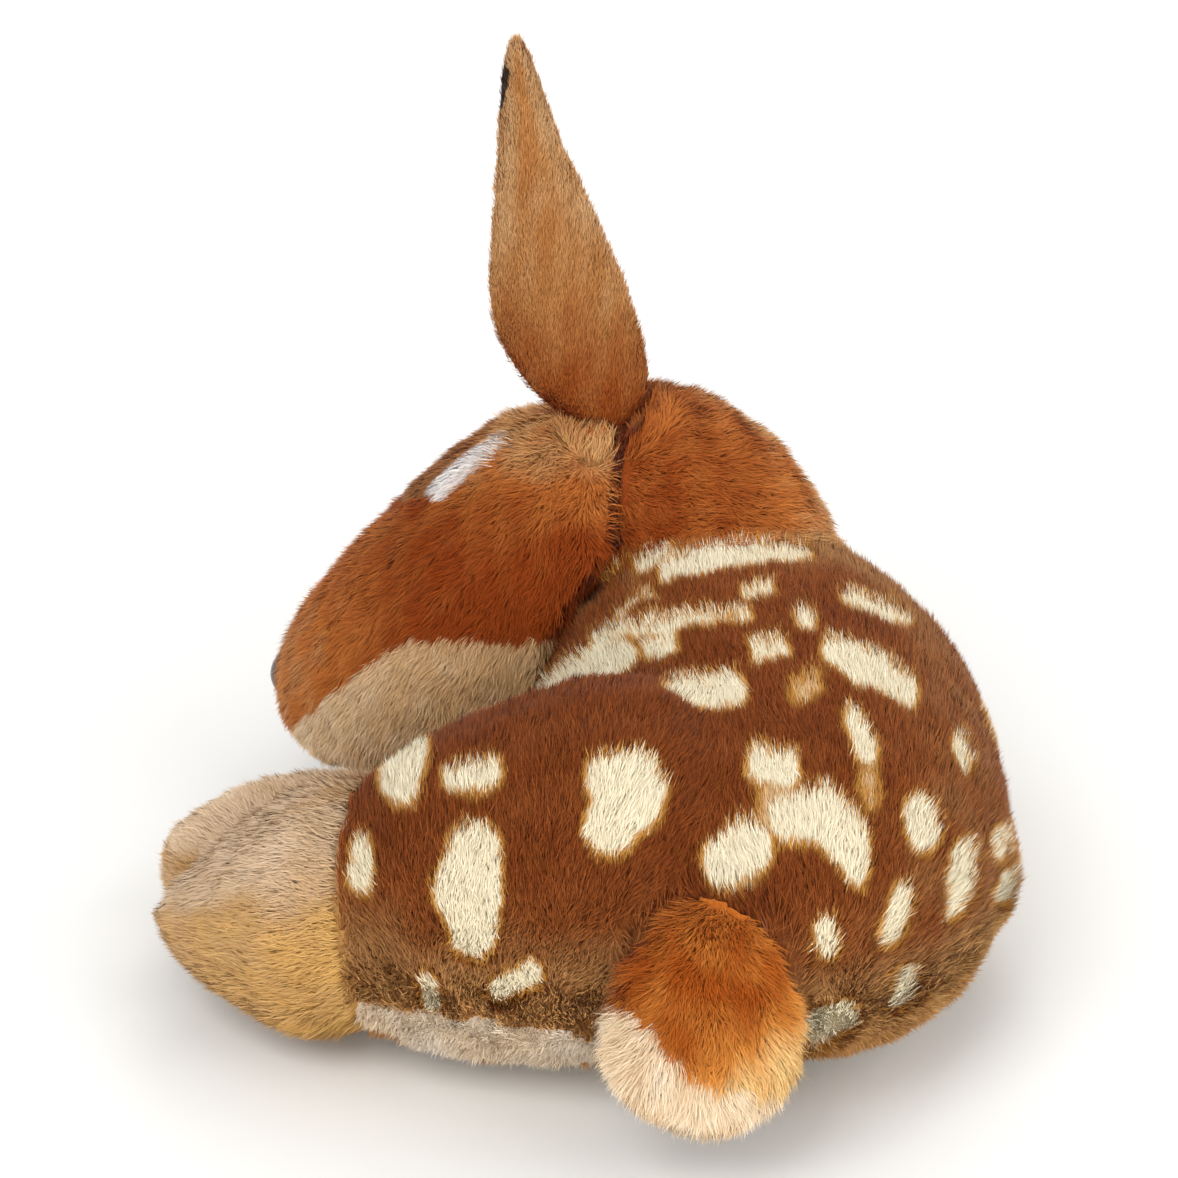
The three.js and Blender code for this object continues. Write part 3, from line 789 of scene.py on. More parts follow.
Flow = Callable[[Places, Ways], Ways]  # from places and normals to the way that the pile is brushed
Dye = Callable[[Places, Ways], Shades]  # from places and normals to the place on the palette


def pulled(*pull: float) -> Flow:
    """Returns a flow of pile that leans one way all over a piece."""
    return lambda places, normals: np.broadcast_to(np.array(pull, float), places.shape)


def towards(x: float, y: float, z: float, also: Sequence[float] = (0.0, 0.0, 0.0)) -> Flow:
    """Returns a flow of pile that leans towards a point, with a lean the same way everywhere added."""
    return lambda places, normals: unit(np.array((x, y, z)) - places) + np.array(also)


def pivot_of(body: str) -> np.ndarray:
    """Returns where the body's joint is."""
    return np.array(next(joint["pos_m"] for joint in frame["joints"] if joint["child"] == body))


def over_ear(flow: Flow) -> Flow:
    """Returns the flow with the pile at the foot of the standing ear brushed up over its seam.

    Args:
        flow: The panel's own flow.

    Returns:
        The changed flow.
    """
    foot = pivot_of("ear_left")

    def changed(places: Places, normals: Ways) -> Ways:
        """Turns from the panel's own flow to upwards near the ear."""
        near = 1 - smooth_step(np.linalg.norm(places - foot, axis=1), 11 * MM, 18 * MM)[:, None]
        return flow(places, normals) * (1 - near) + np.array([0.05, 0.0, 1.0]) * near

    return changed


def over_fold(flow: Flow, edge: float) -> Flow:
    """Returns the flow with the pile at the back of the head brushed over the fold of the neck."""

    def changed(places: Places, normals: Ways) -> Ways:
        """Turns from the panel's own flow to the fold close to it."""
        near = 1 - smooth_step(edge - places[:, 0], 3 * MM, 11 * MM)[:, None]
        return flow(places, normals) * (1 - 0.7 * near) + np.array([1.0, 0.0, -0.2]) * near

    return changed


@dataclass
class Pile:
    """How the pile of one panel is cut and brushed.

    Each fibre is drawn as a bent sliver of two triangles, thin at its root and its tip. Real fibres
    are several times finer, which is too fine to show, so one sliver stands for a small tuft.
    """

    length_mm: float = 5.0
    width_mm: float = 0.26
    per_mm2: float = 8.2
    lean: float = math.radians(48)  # from upright, halfway up the fibre
    curl: float = math.radians(26)  # how much further the upper half leans than the lower one
    scatter: float = math.radians(13)  # how far single fibres stray sideways
    clump: float = math.radians(12)  # how far whole tufts do
    clump_mm: float = 9.0  # the size of a tuft
    heights: tuple[float, float] = (0.5, 1.0)  # how far up the palette the tips end, towards the tip colour's painted highlight
    softness: float = 0.17  # how much the facings of single fibres differ
    guard_share: float = 0.05  # the share of longer fibres with the full painted highlight of the tip colour


class Panel:
    """One sewn panel: its part of a skin with the pile on it, as one piece."""

    # Where the fibres stand
    SEAM_SHARE = 0.3  # the share of the pile that is left where another piece lies close
    FLOOR_SHARE = 0.1  # and where the toy rests on the floor
    RESTING_MM, RESTING_TURN = 1.2, -0.6  # skin lower than this that looks down this much rests there
    ROOT_MM = 0.3  # how deep the roots sit
    FLOOR_MM = 0.3  # how high the fibres stay above the floor

    # How they lie, angles in radians
    ANY_WAY = (0.3, 0.2, 0.93)  # decides where the fibres lean that nothing brushes
    FIRM = 0.45  # a flow that is at least this strong along the skin brushes the pile firmly
    LOOSE_STRAY, LOOSE_LEAN = 0.9, 0.25  # how far unbrushed fibres stray, and their share of the lean
    FINE_SIZE, FINE_STRAY = 2.6, 0.6  # tufts within tufts: how many times smaller, and how much they stray
    UNEVEN = 0.12  # how much the lean differs from tuft to tuft and from fibre to fibre
    LEANS_LOW, LEANS_HIGH = (0.03, 1.4), (0.08, 1.5)  # the limits of the lower and the upper half's lean
    ROLL = 0.45  # how far the slivers turn about their own length

    # Their sizes, as shares of the pile's
    LENGTHS, WIDTHS = (0.76, 1.12), (0.75, 1.25)
    GUARD_LENGTH = 1.18

    # Their dyes and facings
    PALETTE_ENDS = (0.02, 0.98)  # no fibre is dyed nearer to the palette's ends
    PROBE = (0.3, 1.0)  # how far along a fibre its second dye is read
    DYE_STRAY = 0.014  # how much the dye differs from fibre to fibre
    SHADES_UP = (0.4, 0.75, 0.75, 1.0)  # how high up the palette the four corners are, to the tip's height
    APART = (0, -0.004, 0.004, 0)  # keeps the corners apart across it, so that no triangle is flat there
    BACKING_HEIGHT, BACKING_STRAY = 0.35, 0.006  # the backing's height up the palette, mostly the root colour's painted shade, and its unevenness
    LIGHT_ABOVE = 0.45  # how much of the light that the slivers turn to comes from above
    LEAST_LEVEL = 0.25  # limits how much the level part of that light is raised under the toy
    UNDER_LIFT, LOW_LIFT = 0.9, 1.25  # how far turned slivers, and those that look down, are lifted to it
    BRUSHED_BACK = 0.12  # how far the facings tilt against the lean

    def __init__(self, name: str, finish: PlushFinish, pile: Pile, flow: Flow, dye: Dye, seed: int) -> None:
        """Keeps what the panel is made of.

        Args:
            name: The piece's name.
            finish: Its dyed pile.
            pile: How the pile is cut.
            flow: Which way the pile is brushed.
            dye: Where on the palette each place is.
            seed: Fixes the places of the fibres.
        """
        self.name, self.finish, self.pile, self.flow, self.dye = name, finish, pile, flow, dye
        self.draw = np.random.default_rng(seed)
        self.seed = seed

    def roots(
        self, skin: Skin, chosen: np.ndarray, away: Sequence[tuple[Vector, float]]
    ) -> tuple[Places, Ways]:
        """Draws the places where fibres stand.

        Args:
            skin: The skin that carries them.
            chosen: Which of the skin's triangles belong to the panel.
            away: Balls that are kept free of pile, as middle and radius.

        Returns:
            Places and normals.
        """
        mesh = skin.piece.data
        points, normals, faces = corners(mesh), corners(mesh, "normal"), triangles(mesh)[chosen]
        a, b, c = (points[faces[:, k]] for k in range(3))
        area = np.linalg.norm(np.cross(b - a, c - a), axis=1) / 2
        clear = self.SEAM_SHARE + (1 - self.SEAM_SHARE) * skin.open_share[faces].mean(1)
        resting = (a[:, 2] < self.RESTING_MM * MM) & (normals[faces[:, 0], 2] < self.RESTING_TURN)
        weight = area * clear * np.where(resting, self.FLOOR_SHARE, 1.0)
        number = int(weight.sum() / MM**2 * self.pile.per_mm2)
        faces = faces[self.draw.choice(len(faces), number, p=weight / weight.sum())]
        share = self.draw.dirichlet((1, 1, 1), number)
        place = (points[faces] * share[:, :, None]).sum(1)
        normal = unit((normals[faces] * share[:, :, None]).sum(1))
        free = np.ones(number, bool)
        for middle, radius in away:
            free &= np.linalg.norm(place - np.array(middle), axis=1) > radius
        return place[free], normal[free]

    def combed(self, place: Places, normal: Ways) -> tuple[Ways, Shades]:
        """Brushes the fibres along the skin, with tufts and single fibres that stray.

        Args:
            place: Their roots.
            normal: The skin's normals there.

        Returns:
            The way along the skin that each fibre leans, and how firmly it is brushed, from 0 to 1.
        """
        pile, draw, number = self.pile, self.draw, len(place)
        pull = self.flow(place, normal)
        pull = pull - normal * (pull * normal).sum(1, keepdims=True)
        firm = smooth_step(np.linalg.norm(pull, axis=1), 0.0, self.FIRM)
        pull = unit(pull + np.cross(normal, np.array(self.ANY_WAY)) * 0.02)
        side = np.cross(normal, pull)
        bend = Waves(self.seed + 1, pile.clump_mm).at(place) * pile.clump
        fine = Waves(self.seed + 2, pile.clump_mm / self.FINE_SIZE).at(place)
        bend += fine * pile.clump * self.FINE_STRAY
        bend += draw.normal(0, pile.scatter, number) + (1 - firm) * draw.normal(0, self.LOOSE_STRAY, number)
        return pull * np.cos(bend)[:, None] + side * np.sin(bend)[:, None], firm

    def backs_turned(self, face: Ways, normal: Ways) -> np.ndarray:
        """Finds the slivers that turn their backs to the light from above and outside.

        Args:
            face: Which way the slivers face.
            normal: The skin's normals at their roots.

        Returns:
            Whether each has its back turned. On the skin's downward sides the light comes in level.
        """
        level = normal * np.array([1.0, 1.0, 0.0])
        stretch = 1 / np.maximum(np.linalg.norm(level, axis=1), self.LEAST_LEVEL)
        stretch = np.where(normal[:, 2] < 0, stretch, 1.0)
        light = level * stretch[:, None] + np.array([0.0, 0.0, self.LIGHT_ABOVE])
        return (face * light).sum(1) < 0

    def tinted(self, root: Places, tip: Places, normal: Ways, guards: np.ndarray) -> np.ndarray:
        """Finds the dye of each fibre.

        A fibre takes the lower palette place of two, that of its tip and that of a random point along
        it. So pale fibres reach up past their spot, which frays its upper edge.

        Args:
            root: The fibres' roots.
            tip: Their tips.
            normal: The skin's normals at their roots.
            guards: Which of them are guard hairs.

        Returns:
            The palette places of the four corners of each fibre.
        """
        draw, number = self.draw, len(root)
        probe = root + (tip - root) * draw.uniform(*self.PROBE, (number, 1))
        across = np.minimum(self.dye(probe, normal), self.dye(tip, normal))
        across = np.clip(across + draw.normal(0, self.DYE_STRAY, number), *self.PALETTE_ENDS)
        top = np.where(guards, 1.0, draw.uniform(*self.pile.heights, number))
        heights = top[:, None] * np.array(self.SHADES_UP)
        return np.stack([across[:, None] + np.array(self.APART), heights], 2)

    def fibres(self, place: Places, normal: Ways) -> tuple[np.ndarray, np.ndarray, Ways]:
        """Shapes the fibres.

        Args:
            place: Their roots.
            normal: The skin's normals there.

        Returns:
            Four corners for each fibre, the palette places of those corners, and the way that the
            fibre faces the light.
        """
        pile, draw, number = self.pile, self.draw, len(place)
        pull, firm = self.combed(place, normal)
        side = np.cross(normal, pull)
        tufts = Waves(self.seed + 3, pile.clump_mm * 0.8).at(place)
        lift = tufts * self.UNEVEN + draw.normal(0, self.UNEVEN, number)
        lean = pile.lean * (self.LOOSE_LEAN + (1 - self.LOOSE_LEAN) * firm)
        low = np.clip(lean - pile.curl / 2 + lift, *self.LEANS_LOW)[:, None]
        high = np.clip(lean + pile.curl / 2 + lift * 1.3, *self.LEANS_HIGH)[:, None]
        length = pile.length_mm * MM * draw.uniform(*self.LENGTHS, number)
        guards = draw.random(number) < pile.guard_share
        length *= np.where(guards, self.GUARD_LENGTH, 1.0)
        half = (length / 2)[:, None]
        rise_low = normal * np.cos(low) + pull * np.sin(low)
        rise_high = normal * np.cos(high) + pull * np.sin(high)
        root = place - normal * (self.ROOT_MM * MM)
        middle = place + rise_low * half
        tip = middle + rise_high * half
        roll = draw.normal(0, self.ROLL, number)[:, None]
        wide = side * np.cos(roll) + np.cross(rise_low, side) * np.sin(roll)
        wide *= pile.width_mm * MM / 2 * draw.uniform(*self.WIDTHS, number)[:, None]
        points = np.stack([root, middle - wide, middle + wide, tip], 1)
        points[:, :, 2] = np.maximum(points[:, :, 2], self.FLOOR_MM * MM)
        face = np.cross(points[:, 1] - root, points[:, 2] - root)
        turned = self.backs_turned(face, normal)
        points[turned] = points[turned][:, [0, 2, 1, 3]]
        under = (((face * normal).sum(1) > 0) == turned)[:, None]
        palette = self.tinted(root, tip, normal, guards)
        facing = normal + under * np.array([0.0, 0.0, self.UNDER_LIFT])
        facing[:, 2] += self.LOW_LIFT * np.clip(-normal[:, 2], 0, 1)
        facing = unit(facing + pile.softness * draw.normal(0, 1, normal.shape) - pull * self.BRUSHED_BACK)
        return points, palette, facing

    def build(
        self, skin: Skin, chosen: np.ndarray, away: Sequence[tuple[Vector, float]] = ()
    ) -> bpy.types.Object:
        """Makes the panel.

        Args:
            skin: The skin that the panel is part of.
            chosen: Which of the skin's triangles belong to it.
            away: Balls that are kept free of pile, as middle and radius.

        Returns:
            The panel's object.
        """
        points, palette, facing = self.fibres(*self.roots(skin, chosen, away))
        used, faces = np.unique(triangles(skin.piece.data)[chosen], return_inverse=True)
        faces = faces.reshape(-1, 3)
        backing, normals = corners(skin.piece.data)[used], corners(skin.piece.data, "normal")[used]
        dyed = np.clip(self.dye(backing, normals), *self.PALETTE_ENDS)
        backed = np.stack([dyed[faces], np.full(faces.shape, self.BACKING_HEIGHT)], 2)
        backed += self.draw.uniform(-self.BACKING_STRAY, self.BACKING_STRAY, backed.shape)
        first = len(backing) + 4 * np.arange(len(points))[:, None]
        halves = ([0, 1, 2], [3, 2, 1])  # the corners of a sliver's two triangles
        mesh = mesh_of(
            self.name,
            np.concatenate([backing, points.reshape(-1, 3)]),
            np.concatenate([faces.ravel()] + [(first + half).ravel() for half in halves]),
            np.concatenate([backed.reshape(-1, 2)] + [palette[:, half].reshape(-1, 2) for half in halves]),
            np.concatenate([normals, np.repeat(facing, 4, axis=0)]),
        )
        mesh.materials.append(self.finish.material())
        piece = bpy.data.objects.new(self.name, mesh)
        bpy.context.scene.collection.objects.link(piece)
        LOG.info("%s: %d fibres, %d triangles", self.name, len(points), len(mesh.polygons))
        return piece


def mesh_of(
    name: str, places: Places, loops: np.ndarray, palette: np.ndarray, facings: Ways
) -> bpy.types.Mesh:
    """Makes a mesh of triangles with dyes and facings.

    Args:
        name: The mesh's name.
        places: Its vertices.
        loops: The vertices of all its triangles, in one row.
        palette: The palette place of each of those.
        facings: The way that each vertex faces the light.

    Returns:
        The mesh.
    """
    count = len(loops) // 3
    mesh = bpy.data.meshes.new(name)
    mesh.vertices.add(len(places))
    mesh.vertices.foreach_set("co", places.astype(np.float32).ravel())
    mesh.loops.add(len(loops))
    mesh.loops.foreach_set("vertex_index", loops.astype(np.int32))
    mesh.polygons.add(count)
    mesh.polygons.foreach_set("loop_start", (3 * np.arange(count)).astype(np.int32))
    mesh.update(calc_edges=True)
    for layer_name in (PALETTE, BAKED):
        layer = mesh.uv_layers.new(name=layer_name, do_init=False)
        layer.uv.foreach_set("vector", palette.astype(np.float32).ravel())
    mesh.shade_smooth()
    normals = mesh.attributes.new("custom_normal", "FLOAT_VECTOR", "POINT")
    normals.data.foreach_set("vector", facings.astype(np.float32).ravel())
    return mesh


def nearest_panel(skin: Skin, groups: Sequence[Sequence[str]]) -> np.ndarray:
    """Shares out a skin's triangles among panels.

    Args:
        skin: The skin.
        groups: For each panel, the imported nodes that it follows.

    Returns:
        The number of the panel that each triangle is nearest to.
    """
    middles = skin.middles()
    gaps = [reach(tree_of(group), middles, 30 * MM) for group in groups]
    return np.argmin(np.stack(gaps), axis=0)


def remove(piece: bpy.types.Object) -> None:
    """Deletes a helper object with its mesh.

    Args:
        piece: The piece.
    """
    mesh = piece.data
    bpy.data.objects.remove(piece)
    bpy.data.meshes.remove(mesh)


Stroke = tuple[tuple[float, float, float], ...]


class Spots:
    """The pale spots printed on the coat, as brush strokes that follow the photograph."""

    # Each stroke is a row of discs: pixel across, pixel down, radius in pixels
    CREAM: tuple[Stroke, ...] = (
        ((411, 748, 19), (400, 776, 21)),
        ((453, 777, 10), (492, 770, 11)),
        ((363, 845, 9), (359, 877, 11)),
        ((476, 850, 27), (468, 888, 35), (474, 930, 24)),
        ((606, 776, 20), (636, 772, 22), (612, 822, 27), (642, 800, 22), (655, 786, 14)),
        ((427, 980, 9), (432, 1004, 9)),
        ((500, 988, 12), (532, 970, 11)),
        ((538, 692, 11), (568, 682, 17), (600, 664, 20), (624, 652, 13)),
        ((672, 693, 12), (700, 692, 16), (733, 687, 13)),
        ((722, 860, 20), (748, 843, 25)),
        ((762, 762, 15), (783, 767, 16)),
        ((787, 815, 20), (822, 811, 25), (848, 838, 21), (858, 868, 11)),
        ((852, 716, 9), (868, 750, 10)),
        ((832, 648, 11), (866, 666, 18), (902, 690, 15)),
        ((916, 808, 14), (926, 832, 14)),
        ((957, 742, 8), (964, 762, 8)),
        ((962, 850, 11), (962, 880, 12), (954, 905, 9)),
        ((903, 889, 9), (897, 915, 11), (892, 934, 7)),
        ((826, 928, 11), (830, 944, 10)),
        ((910, 972, 9), (900, 996, 9)),
        ((814, 1028, 17), (846, 1012, 14)),
        ((668, 568, 10), (700, 558, 13), (740, 552, 12), (775, 552, 9), (806, 556, 6)),
        ((745, 592, 5), (768, 589, 7)),
        ((600, 642, 8), (625, 630, 7), (661, 622, 6), (700, 617, 6), (746, 614, 5)),
        ((650, 645, 9), (668, 640, 9)),
        ((757, 649, 8), (780, 645, 8)),
        ((802, 617, 8), (808, 622, 8)),
        ((848, 600, 8), (875, 610, 11), (903, 624, 8)),
        ((640, 562, 6), (664, 544, 7)),
        ((992, 695, 8), (1008, 735, 9)),
        ((1000, 830, 6), (1003, 850, 6)),
        ((1010, 872, 6), (1006, 894, 7)),
        ((622, 618, 4), (650, 596, 5)),
        ((590, 563, 6), (612, 549, 7)),
    )
    GOLD: tuple[Stroke, ...] = (
        ((772, 785, 9), (768, 805, 10), (762, 830, 9)),
        ((592, 566, 7), (610, 550, 7)),
        ((798, 689, 8), (811, 680, 9)),
        ((868, 775, 7), (872, 798, 6)),
    )
    CREAM_AT, GOLD_AT, RIM_AT, BROWN_AT = 0.05, 0.17, 0.20, 0.42  # places on the coat's palette
    FLANK, LOW, CREST = 0.14, 0.53, 0.26  # how far past the brown those places of the coat are; LOW also serves as painted light on skin that turns down
    RIM_BELOW = (1.5, 8.0)  # how far the golden rim lies below its spot, in pixels
    EDGE_ON = 0.22  # skin that faces away from the camera by more than this counts as hidden
    REACH = 110  # how far a stroke can reach from its middle, in pixels
    FAR_MM = 99.0  # the distance that is given where no stroke is near
    SLANT, SLANT_MM = 1.9, 4.0  # a spot's reach over slanting skin: this times its radius, and this
    APART_MM = 27.0  # the least distance between two hidden spots
    SIZES_MM = (5.0, 8.5)  # the least and the greatest radius of a hidden spot

    def __init__(self, camera: PhotoCamera, skin: Skin, seed: int) -> None:
        """Lays the strokes on the skin.

        Args:
            camera: The camera whose pixels the strokes are in.
            skin: The coat's skin.
            seed: Fixes the spots on the sides that the photograph hides.
        """
        self.camera = camera
        self.tree = skin.tree()
        self.cream = [self.laid(stroke) for stroke in self.CREAM]
        self.gold = [self.laid(stroke) for stroke in self.GOLD]
        self.hidden = self.scattered(skin, seed)
        self.ragged = Waves(seed + 5, 5.0)
        self.fine = Waves(seed + 6, 1.9)
        self.mottle = Waves(seed + 7, 14.0)

    def laid(self, stroke: Stroke) -> tuple[np.ndarray, np.ndarray]:
        """Finds where a stroke's discs lie on the skin.

        Args:
            stroke: The discs in pixels.

        Returns:
            The discs, and their places on the skin, not numbers where the ray misses it.
        """
        found = []
        for x, y, _ in stroke:
            hit = self.tree.ray_cast(self.camera.place, self.camera.ray(x, y))[0]
            found.append((math.nan,) * 3 if hit is None else tuple(hit))
        return np.array(stroke, float), np.array(found)

    def scattered(self, skin: Skin, seed: int) -> list[tuple[np.ndarray, float]]:
        """Chooses spots for the sides that the photograph doesn't show.

        Args:
            skin: The coat's skin.
            seed: Fixes the choice.

        Returns:
            The middle and radius of each spot.
        """
        draw = np.random.default_rng(seed)
        places, normals = corners(skin.piece.data), corners(skin.piece.data, "normal")
        faces_away = normals @ np.array(self.camera.forward) > self.EDGE_ON
        free = places[faces_away & (places[:, 2] > 16 * MM) & (skin.open_share > 0.9)]
        taken: list[tuple[np.ndarray, float]] = []
        for place in free[draw.permutation(len(free))]:
            if all(np.linalg.norm(place - other) > self.APART_MM * MM for other, _ in taken):
                taken.append((place, draw.uniform(*self.SIZES_MM) * MM))
        return taken

    @staticmethod
    def to_chain(points: np.ndarray, discs: np.ndarray, radii: np.ndarray) -> Shades:
        """Returns how far each point is outside a chain of discs, below zero inside it.

        Args:
            points: The points.
            discs: The middles of the discs.
            radii: Their radii.

        Returns:
            The distances.
        """
        best = np.full(len(points), np.inf)
        for k in range(max(len(discs) - 1, 1)):
            start, end = discs[k], discs[min(k + 1, len(discs) - 1)]
            way = end - start
            share = np.clip((points - start) @ way / max(way @ way, 1e-12), 0, 1)
            gap = np.linalg.norm(points - start - share[:, None] * way, axis=1)
            radius = radii[k] + (radii[min(k + 1, len(radii) - 1)] - radii[k]) * share
            best = np.minimum(best, gap - radius)
        return best

    def outside(self, strokes: list, places: Places, pixels: np.ndarray, seen: np.ndarray) -> Shades:
        """Measures how far places are outside the strokes.

        Where the camera sees the skin at a slant, the picture alone would draw a spot out over it, so
        the distance over the skin counts too.

        Args:
            strokes: Strokes as laid on the skin.
            places: Places on the skin.
            pixels: Where the camera sees them.
            seen: Whether each place faces the camera.

        Returns:
            The distance to the nearest stroke's edge in millimetres, below zero inside it.
        """
        scale = self.camera.pixel_mm
        best = np.full(len(places), self.FAR_MM)
        for discs, on_skin in strokes:
            near = seen & (np.abs(pixels - discs[:, :2].mean(0)).max(1) < self.REACH)
            if not near.any():
                continue
            gap = self.to_chain(pixels[near], discs[:, :2], discs[:, 2]) * scale
            if not np.isnan(on_skin).any():
                widest = discs[:, 2] * scale * self.SLANT + self.SLANT_MM
                gap = np.maximum(gap, self.to_chain(places[near] / MM, on_skin / MM, widest))
            best[near] = np.minimum(best[near], gap)
        return best

    def ground(self, places: Places, normals: Ways) -> Shades:
        """Finds the brown between the spots, with the gold low on the thighs, partly painted light where
        the skin turns down.

        Args:
            places: Places on the skin.
            normals: The skin's normals there.

        Returns:
            How far past the dark brown each place's dye lies on the palette.
        """
        crest = smooth_step(normals[:, 2], 0.45, 0.9) * smooth_step(places[:, 1], -0.030, 0.015)
        # the thighs' gold low down, also painted light: it lightens skin that turns down into shade
        low = smooth_step(-places[:, 2], -0.048, -0.022) * smooth_step(-normals[:, 2], -0.5, -0.1)
        flank = smooth_step(places[:, 0], 0.055, 0.080) + smooth_step(-places[:, 2], -0.062, -0.045)
        base = self.FLANK * np.clip(flank, 0, 1)
        shade = base + (self.LOW - base) * low
        return shade + (self.CREST - shade) * crest

    def dye(self, places: Places, normals: Ways) -> Shades:
        """Returns the place on the coat's palette for each place on the skin.

        Args:
            places: Places on the skin.
            normals: The skin's normals there.

        Returns:
            The place of each on the palette.
        """
        pixels = self.camera.pixels(places)
        seen = normals @ np.array(self.camera.forward) < self.EDGE_ON
        rough = 0.55 * self.ragged.at(places) + 0.45 * self.fine.at(places)
        gap = self.outside(self.cream, places, pixels, seen)
        for middle, radius in self.hidden:
            away = (np.linalg.norm(places - middle, axis=1) - radius) / MM
            gap = np.where(seen, gap, np.minimum(gap, away))
        under = self.outside(self.cream, places, pixels - np.array(self.RIM_BELOW), seen)
        gold = self.outside(self.gold, places, pixels, seen)
        dyes = (self.CREAM_AT, self.RIM_AT, self.BROWN_AT)
        spot = np.interp(gap + 0.9 + 0.5 * rough, (0.0, 0.8, 2.2), dyes)
        rim = np.interp(under + 0.6 + 0.3 * rough, (-1.2, 1.4), dyes[1:])
        stroke = np.interp(gold + 0.5 + rough, (-1.0, 2.5), (self.GOLD_AT, self.BROWN_AT))
        across = np.minimum(np.minimum(spot, rim), stroke)
        brown = smooth_step(across, 0.36, self.BROWN_AT)
        return across + brown * (self.ground(places, normals) + 0.025 * (1.6 + self.mottle.at(places)))


class Trunk:
    """The stuffed body with its thighs, the cream belly, the neck and the folded legs."""

    # Each piece of the coat, with the solids that it stands for
    COAT = {
        "back_plush": ("back_panel", "torso_filling"),
        "haunch_left_plush": ("haunch_left",),
        "haunch_right_plush": ("haunch_right",),
    }
    # Each leg's solid, with the way that its pile is brushed, towards the toes
    LEGS = {
        "hock_left": (-1.0, -0.1, 0.12),
        "hock_right": (0.2, 1.0, -0.1),
        "hind_foot_left": (-0.8, 0.3, 0.35),
        "hind_foot_right": (0.0, 1.0, -0.1),
        "fore_leg_left": (-0.8, 0.6, -0.1),
        "fore_leg_right": (-0.4, 0.9, -0.1),
    }
    BESIDE = ("tail_top", "tail_underside", "head_cover", "chin_panel", "ear_left_back", "ear_right_back")
    # The seam above the belly, as pixels across and down, out of sight to the right of the last but one
    BELLY_TOP = ((330, 1000), (350, 1010), (600, 1048), (800, 1078), (801, 1400))
    BELLY_MM = 7.5  # how high the belly comes on the sides that the photograph hides
    FACING = -0.05  # skin counts as seen where it turns to the camera at least this much

    def __init__(self, camera: PhotoCamera) -> None:
        """Keeps the camera that the spots are read from."""
        self.camera = camera

    def belly(self, skin: Skin) -> np.ndarray:
        """Returns which of the skin's triangles belong to the pale panel underneath.

        Args:
            skin: The trunk's skin.

        Returns:
            Whether each triangle does.
        """
        middles = skin.middles()
        pixels = self.camera.pixels(middles)
        faces = triangles(skin.piece.data)
        seen = corners(skin.piece.data, "normal")[faces[:, 0]] @ np.array(self.camera.forward) < self.FACING
        line = np.interp(pixels[:, 0], *zip(*self.BELLY_TOP)) + 2.5 * Waves(3, 9).at(middles)
        hidden_low = middles[:, 2] < (self.BELLY_MM + 1.2 * Waves(3, 20).at(middles)) * MM
        return np.where(seen & (pixels[:, 0] > self.BELLY_TOP[0][0]), pixels[:, 1] > line, hidden_low)

    def build(self) -> None:
        """Makes every piece of the trunk from one skin, so that no seam gapes."""
        coat = tuple(solids[0] for solids in self.COAT.values())
        nodes = coat + ("belly_panel", "torso_filling", "neck") + tuple(self.LEGS)
        skin = Skin("trunk_skin", nodes, self.BESIDE, smoothing=15, fill_mm=5.0).build()
        sides = nearest_panel(skin, tuple((node,) for node in (*coat, "neck", *self.LEGS)))
        low = self.belly(skin)
        self.build_coat(skin, np.where(low, -1, sides))
        tone = Waves(31, 18)

        def cream(places: Places, normals: Ways) -> Shades:
            """Cream all over."""
            return 0.60 + 0.06 * tone.at(places)

        pile = Pile(length_mm=4.4, per_mm2=5.5)
        belly = Panel("belly_plush", CREAM, pile, pulled(-0.2, -0.9, 0.1), cream, 30)
        self.finish(belly.build(skin, low & (sides < 3)), "belly_panel")
        self.build_neck(skin, sides == 3)
        self.build_legs(skin, sides)
        remove(skin.piece)

    @staticmethod
    def finish(piece: bpy.types.Object, *solids: str) -> None:
        """Ties a panel to the trunk and to the solids that it stands for.

        Args:
            piece: The piece.
            *solids: The solids that it stands for.
        """
        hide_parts(*solids)
        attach(piece, "trunk")

    def build_coat(self, skin: Skin, sides: np.ndarray) -> None:
        """Makes the back and the thighs, with the spots.

        Args:
            skin: The trunk's skin.
            sides: The number of the panel that each of its triangles belongs to.
        """
        spots = Spots(self.camera, skin, 11)
        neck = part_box("neck")
        up_the_back = towards(
            neck[0].x + 30 * MM, neck[1].y - 20 * MM, neck[0].z + 12 * MM, (0.0, 0.0, 0.15)
        )

        def brushed(places: Places, normals: Ways) -> Ways:
            """Brushes the coat up the back, and straight up where the thigh turns under.

            Args:
                places: Places on the skin.
                normals: The skin's normals there.

            Returns:
                The way that the pile is brushed at each place.
            """
            under = smooth_step(-normals[:, 2], -0.2, 0.3) * smooth_step(-places[:, 2], -0.050, -0.025)
            under = under[:, None]
            return up_the_back(places, normals) * (1 - under) + np.array([0.0, -0.2, 1.0]) * under

        for k, (name, solids) in enumerate(self.COAT.items()):
            panel = Panel(name, SPOTTED, Pile(heights=(0.3, 1.0)), brushed, spots.dye, 20 + k)
            self.finish(panel.build(skin, sides == k), *solids)

    def build_neck(self, skin: Skin, chosen: np.ndarray) -> None:
        """Makes the neck, brushed down towards the back.

        Args:
            skin: The trunk's skin.
            chosen: Which of its triangles are the neck's.
        """
        patchy, broad = Waves(41, 9), Waves(42, 26)
        low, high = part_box("neck")

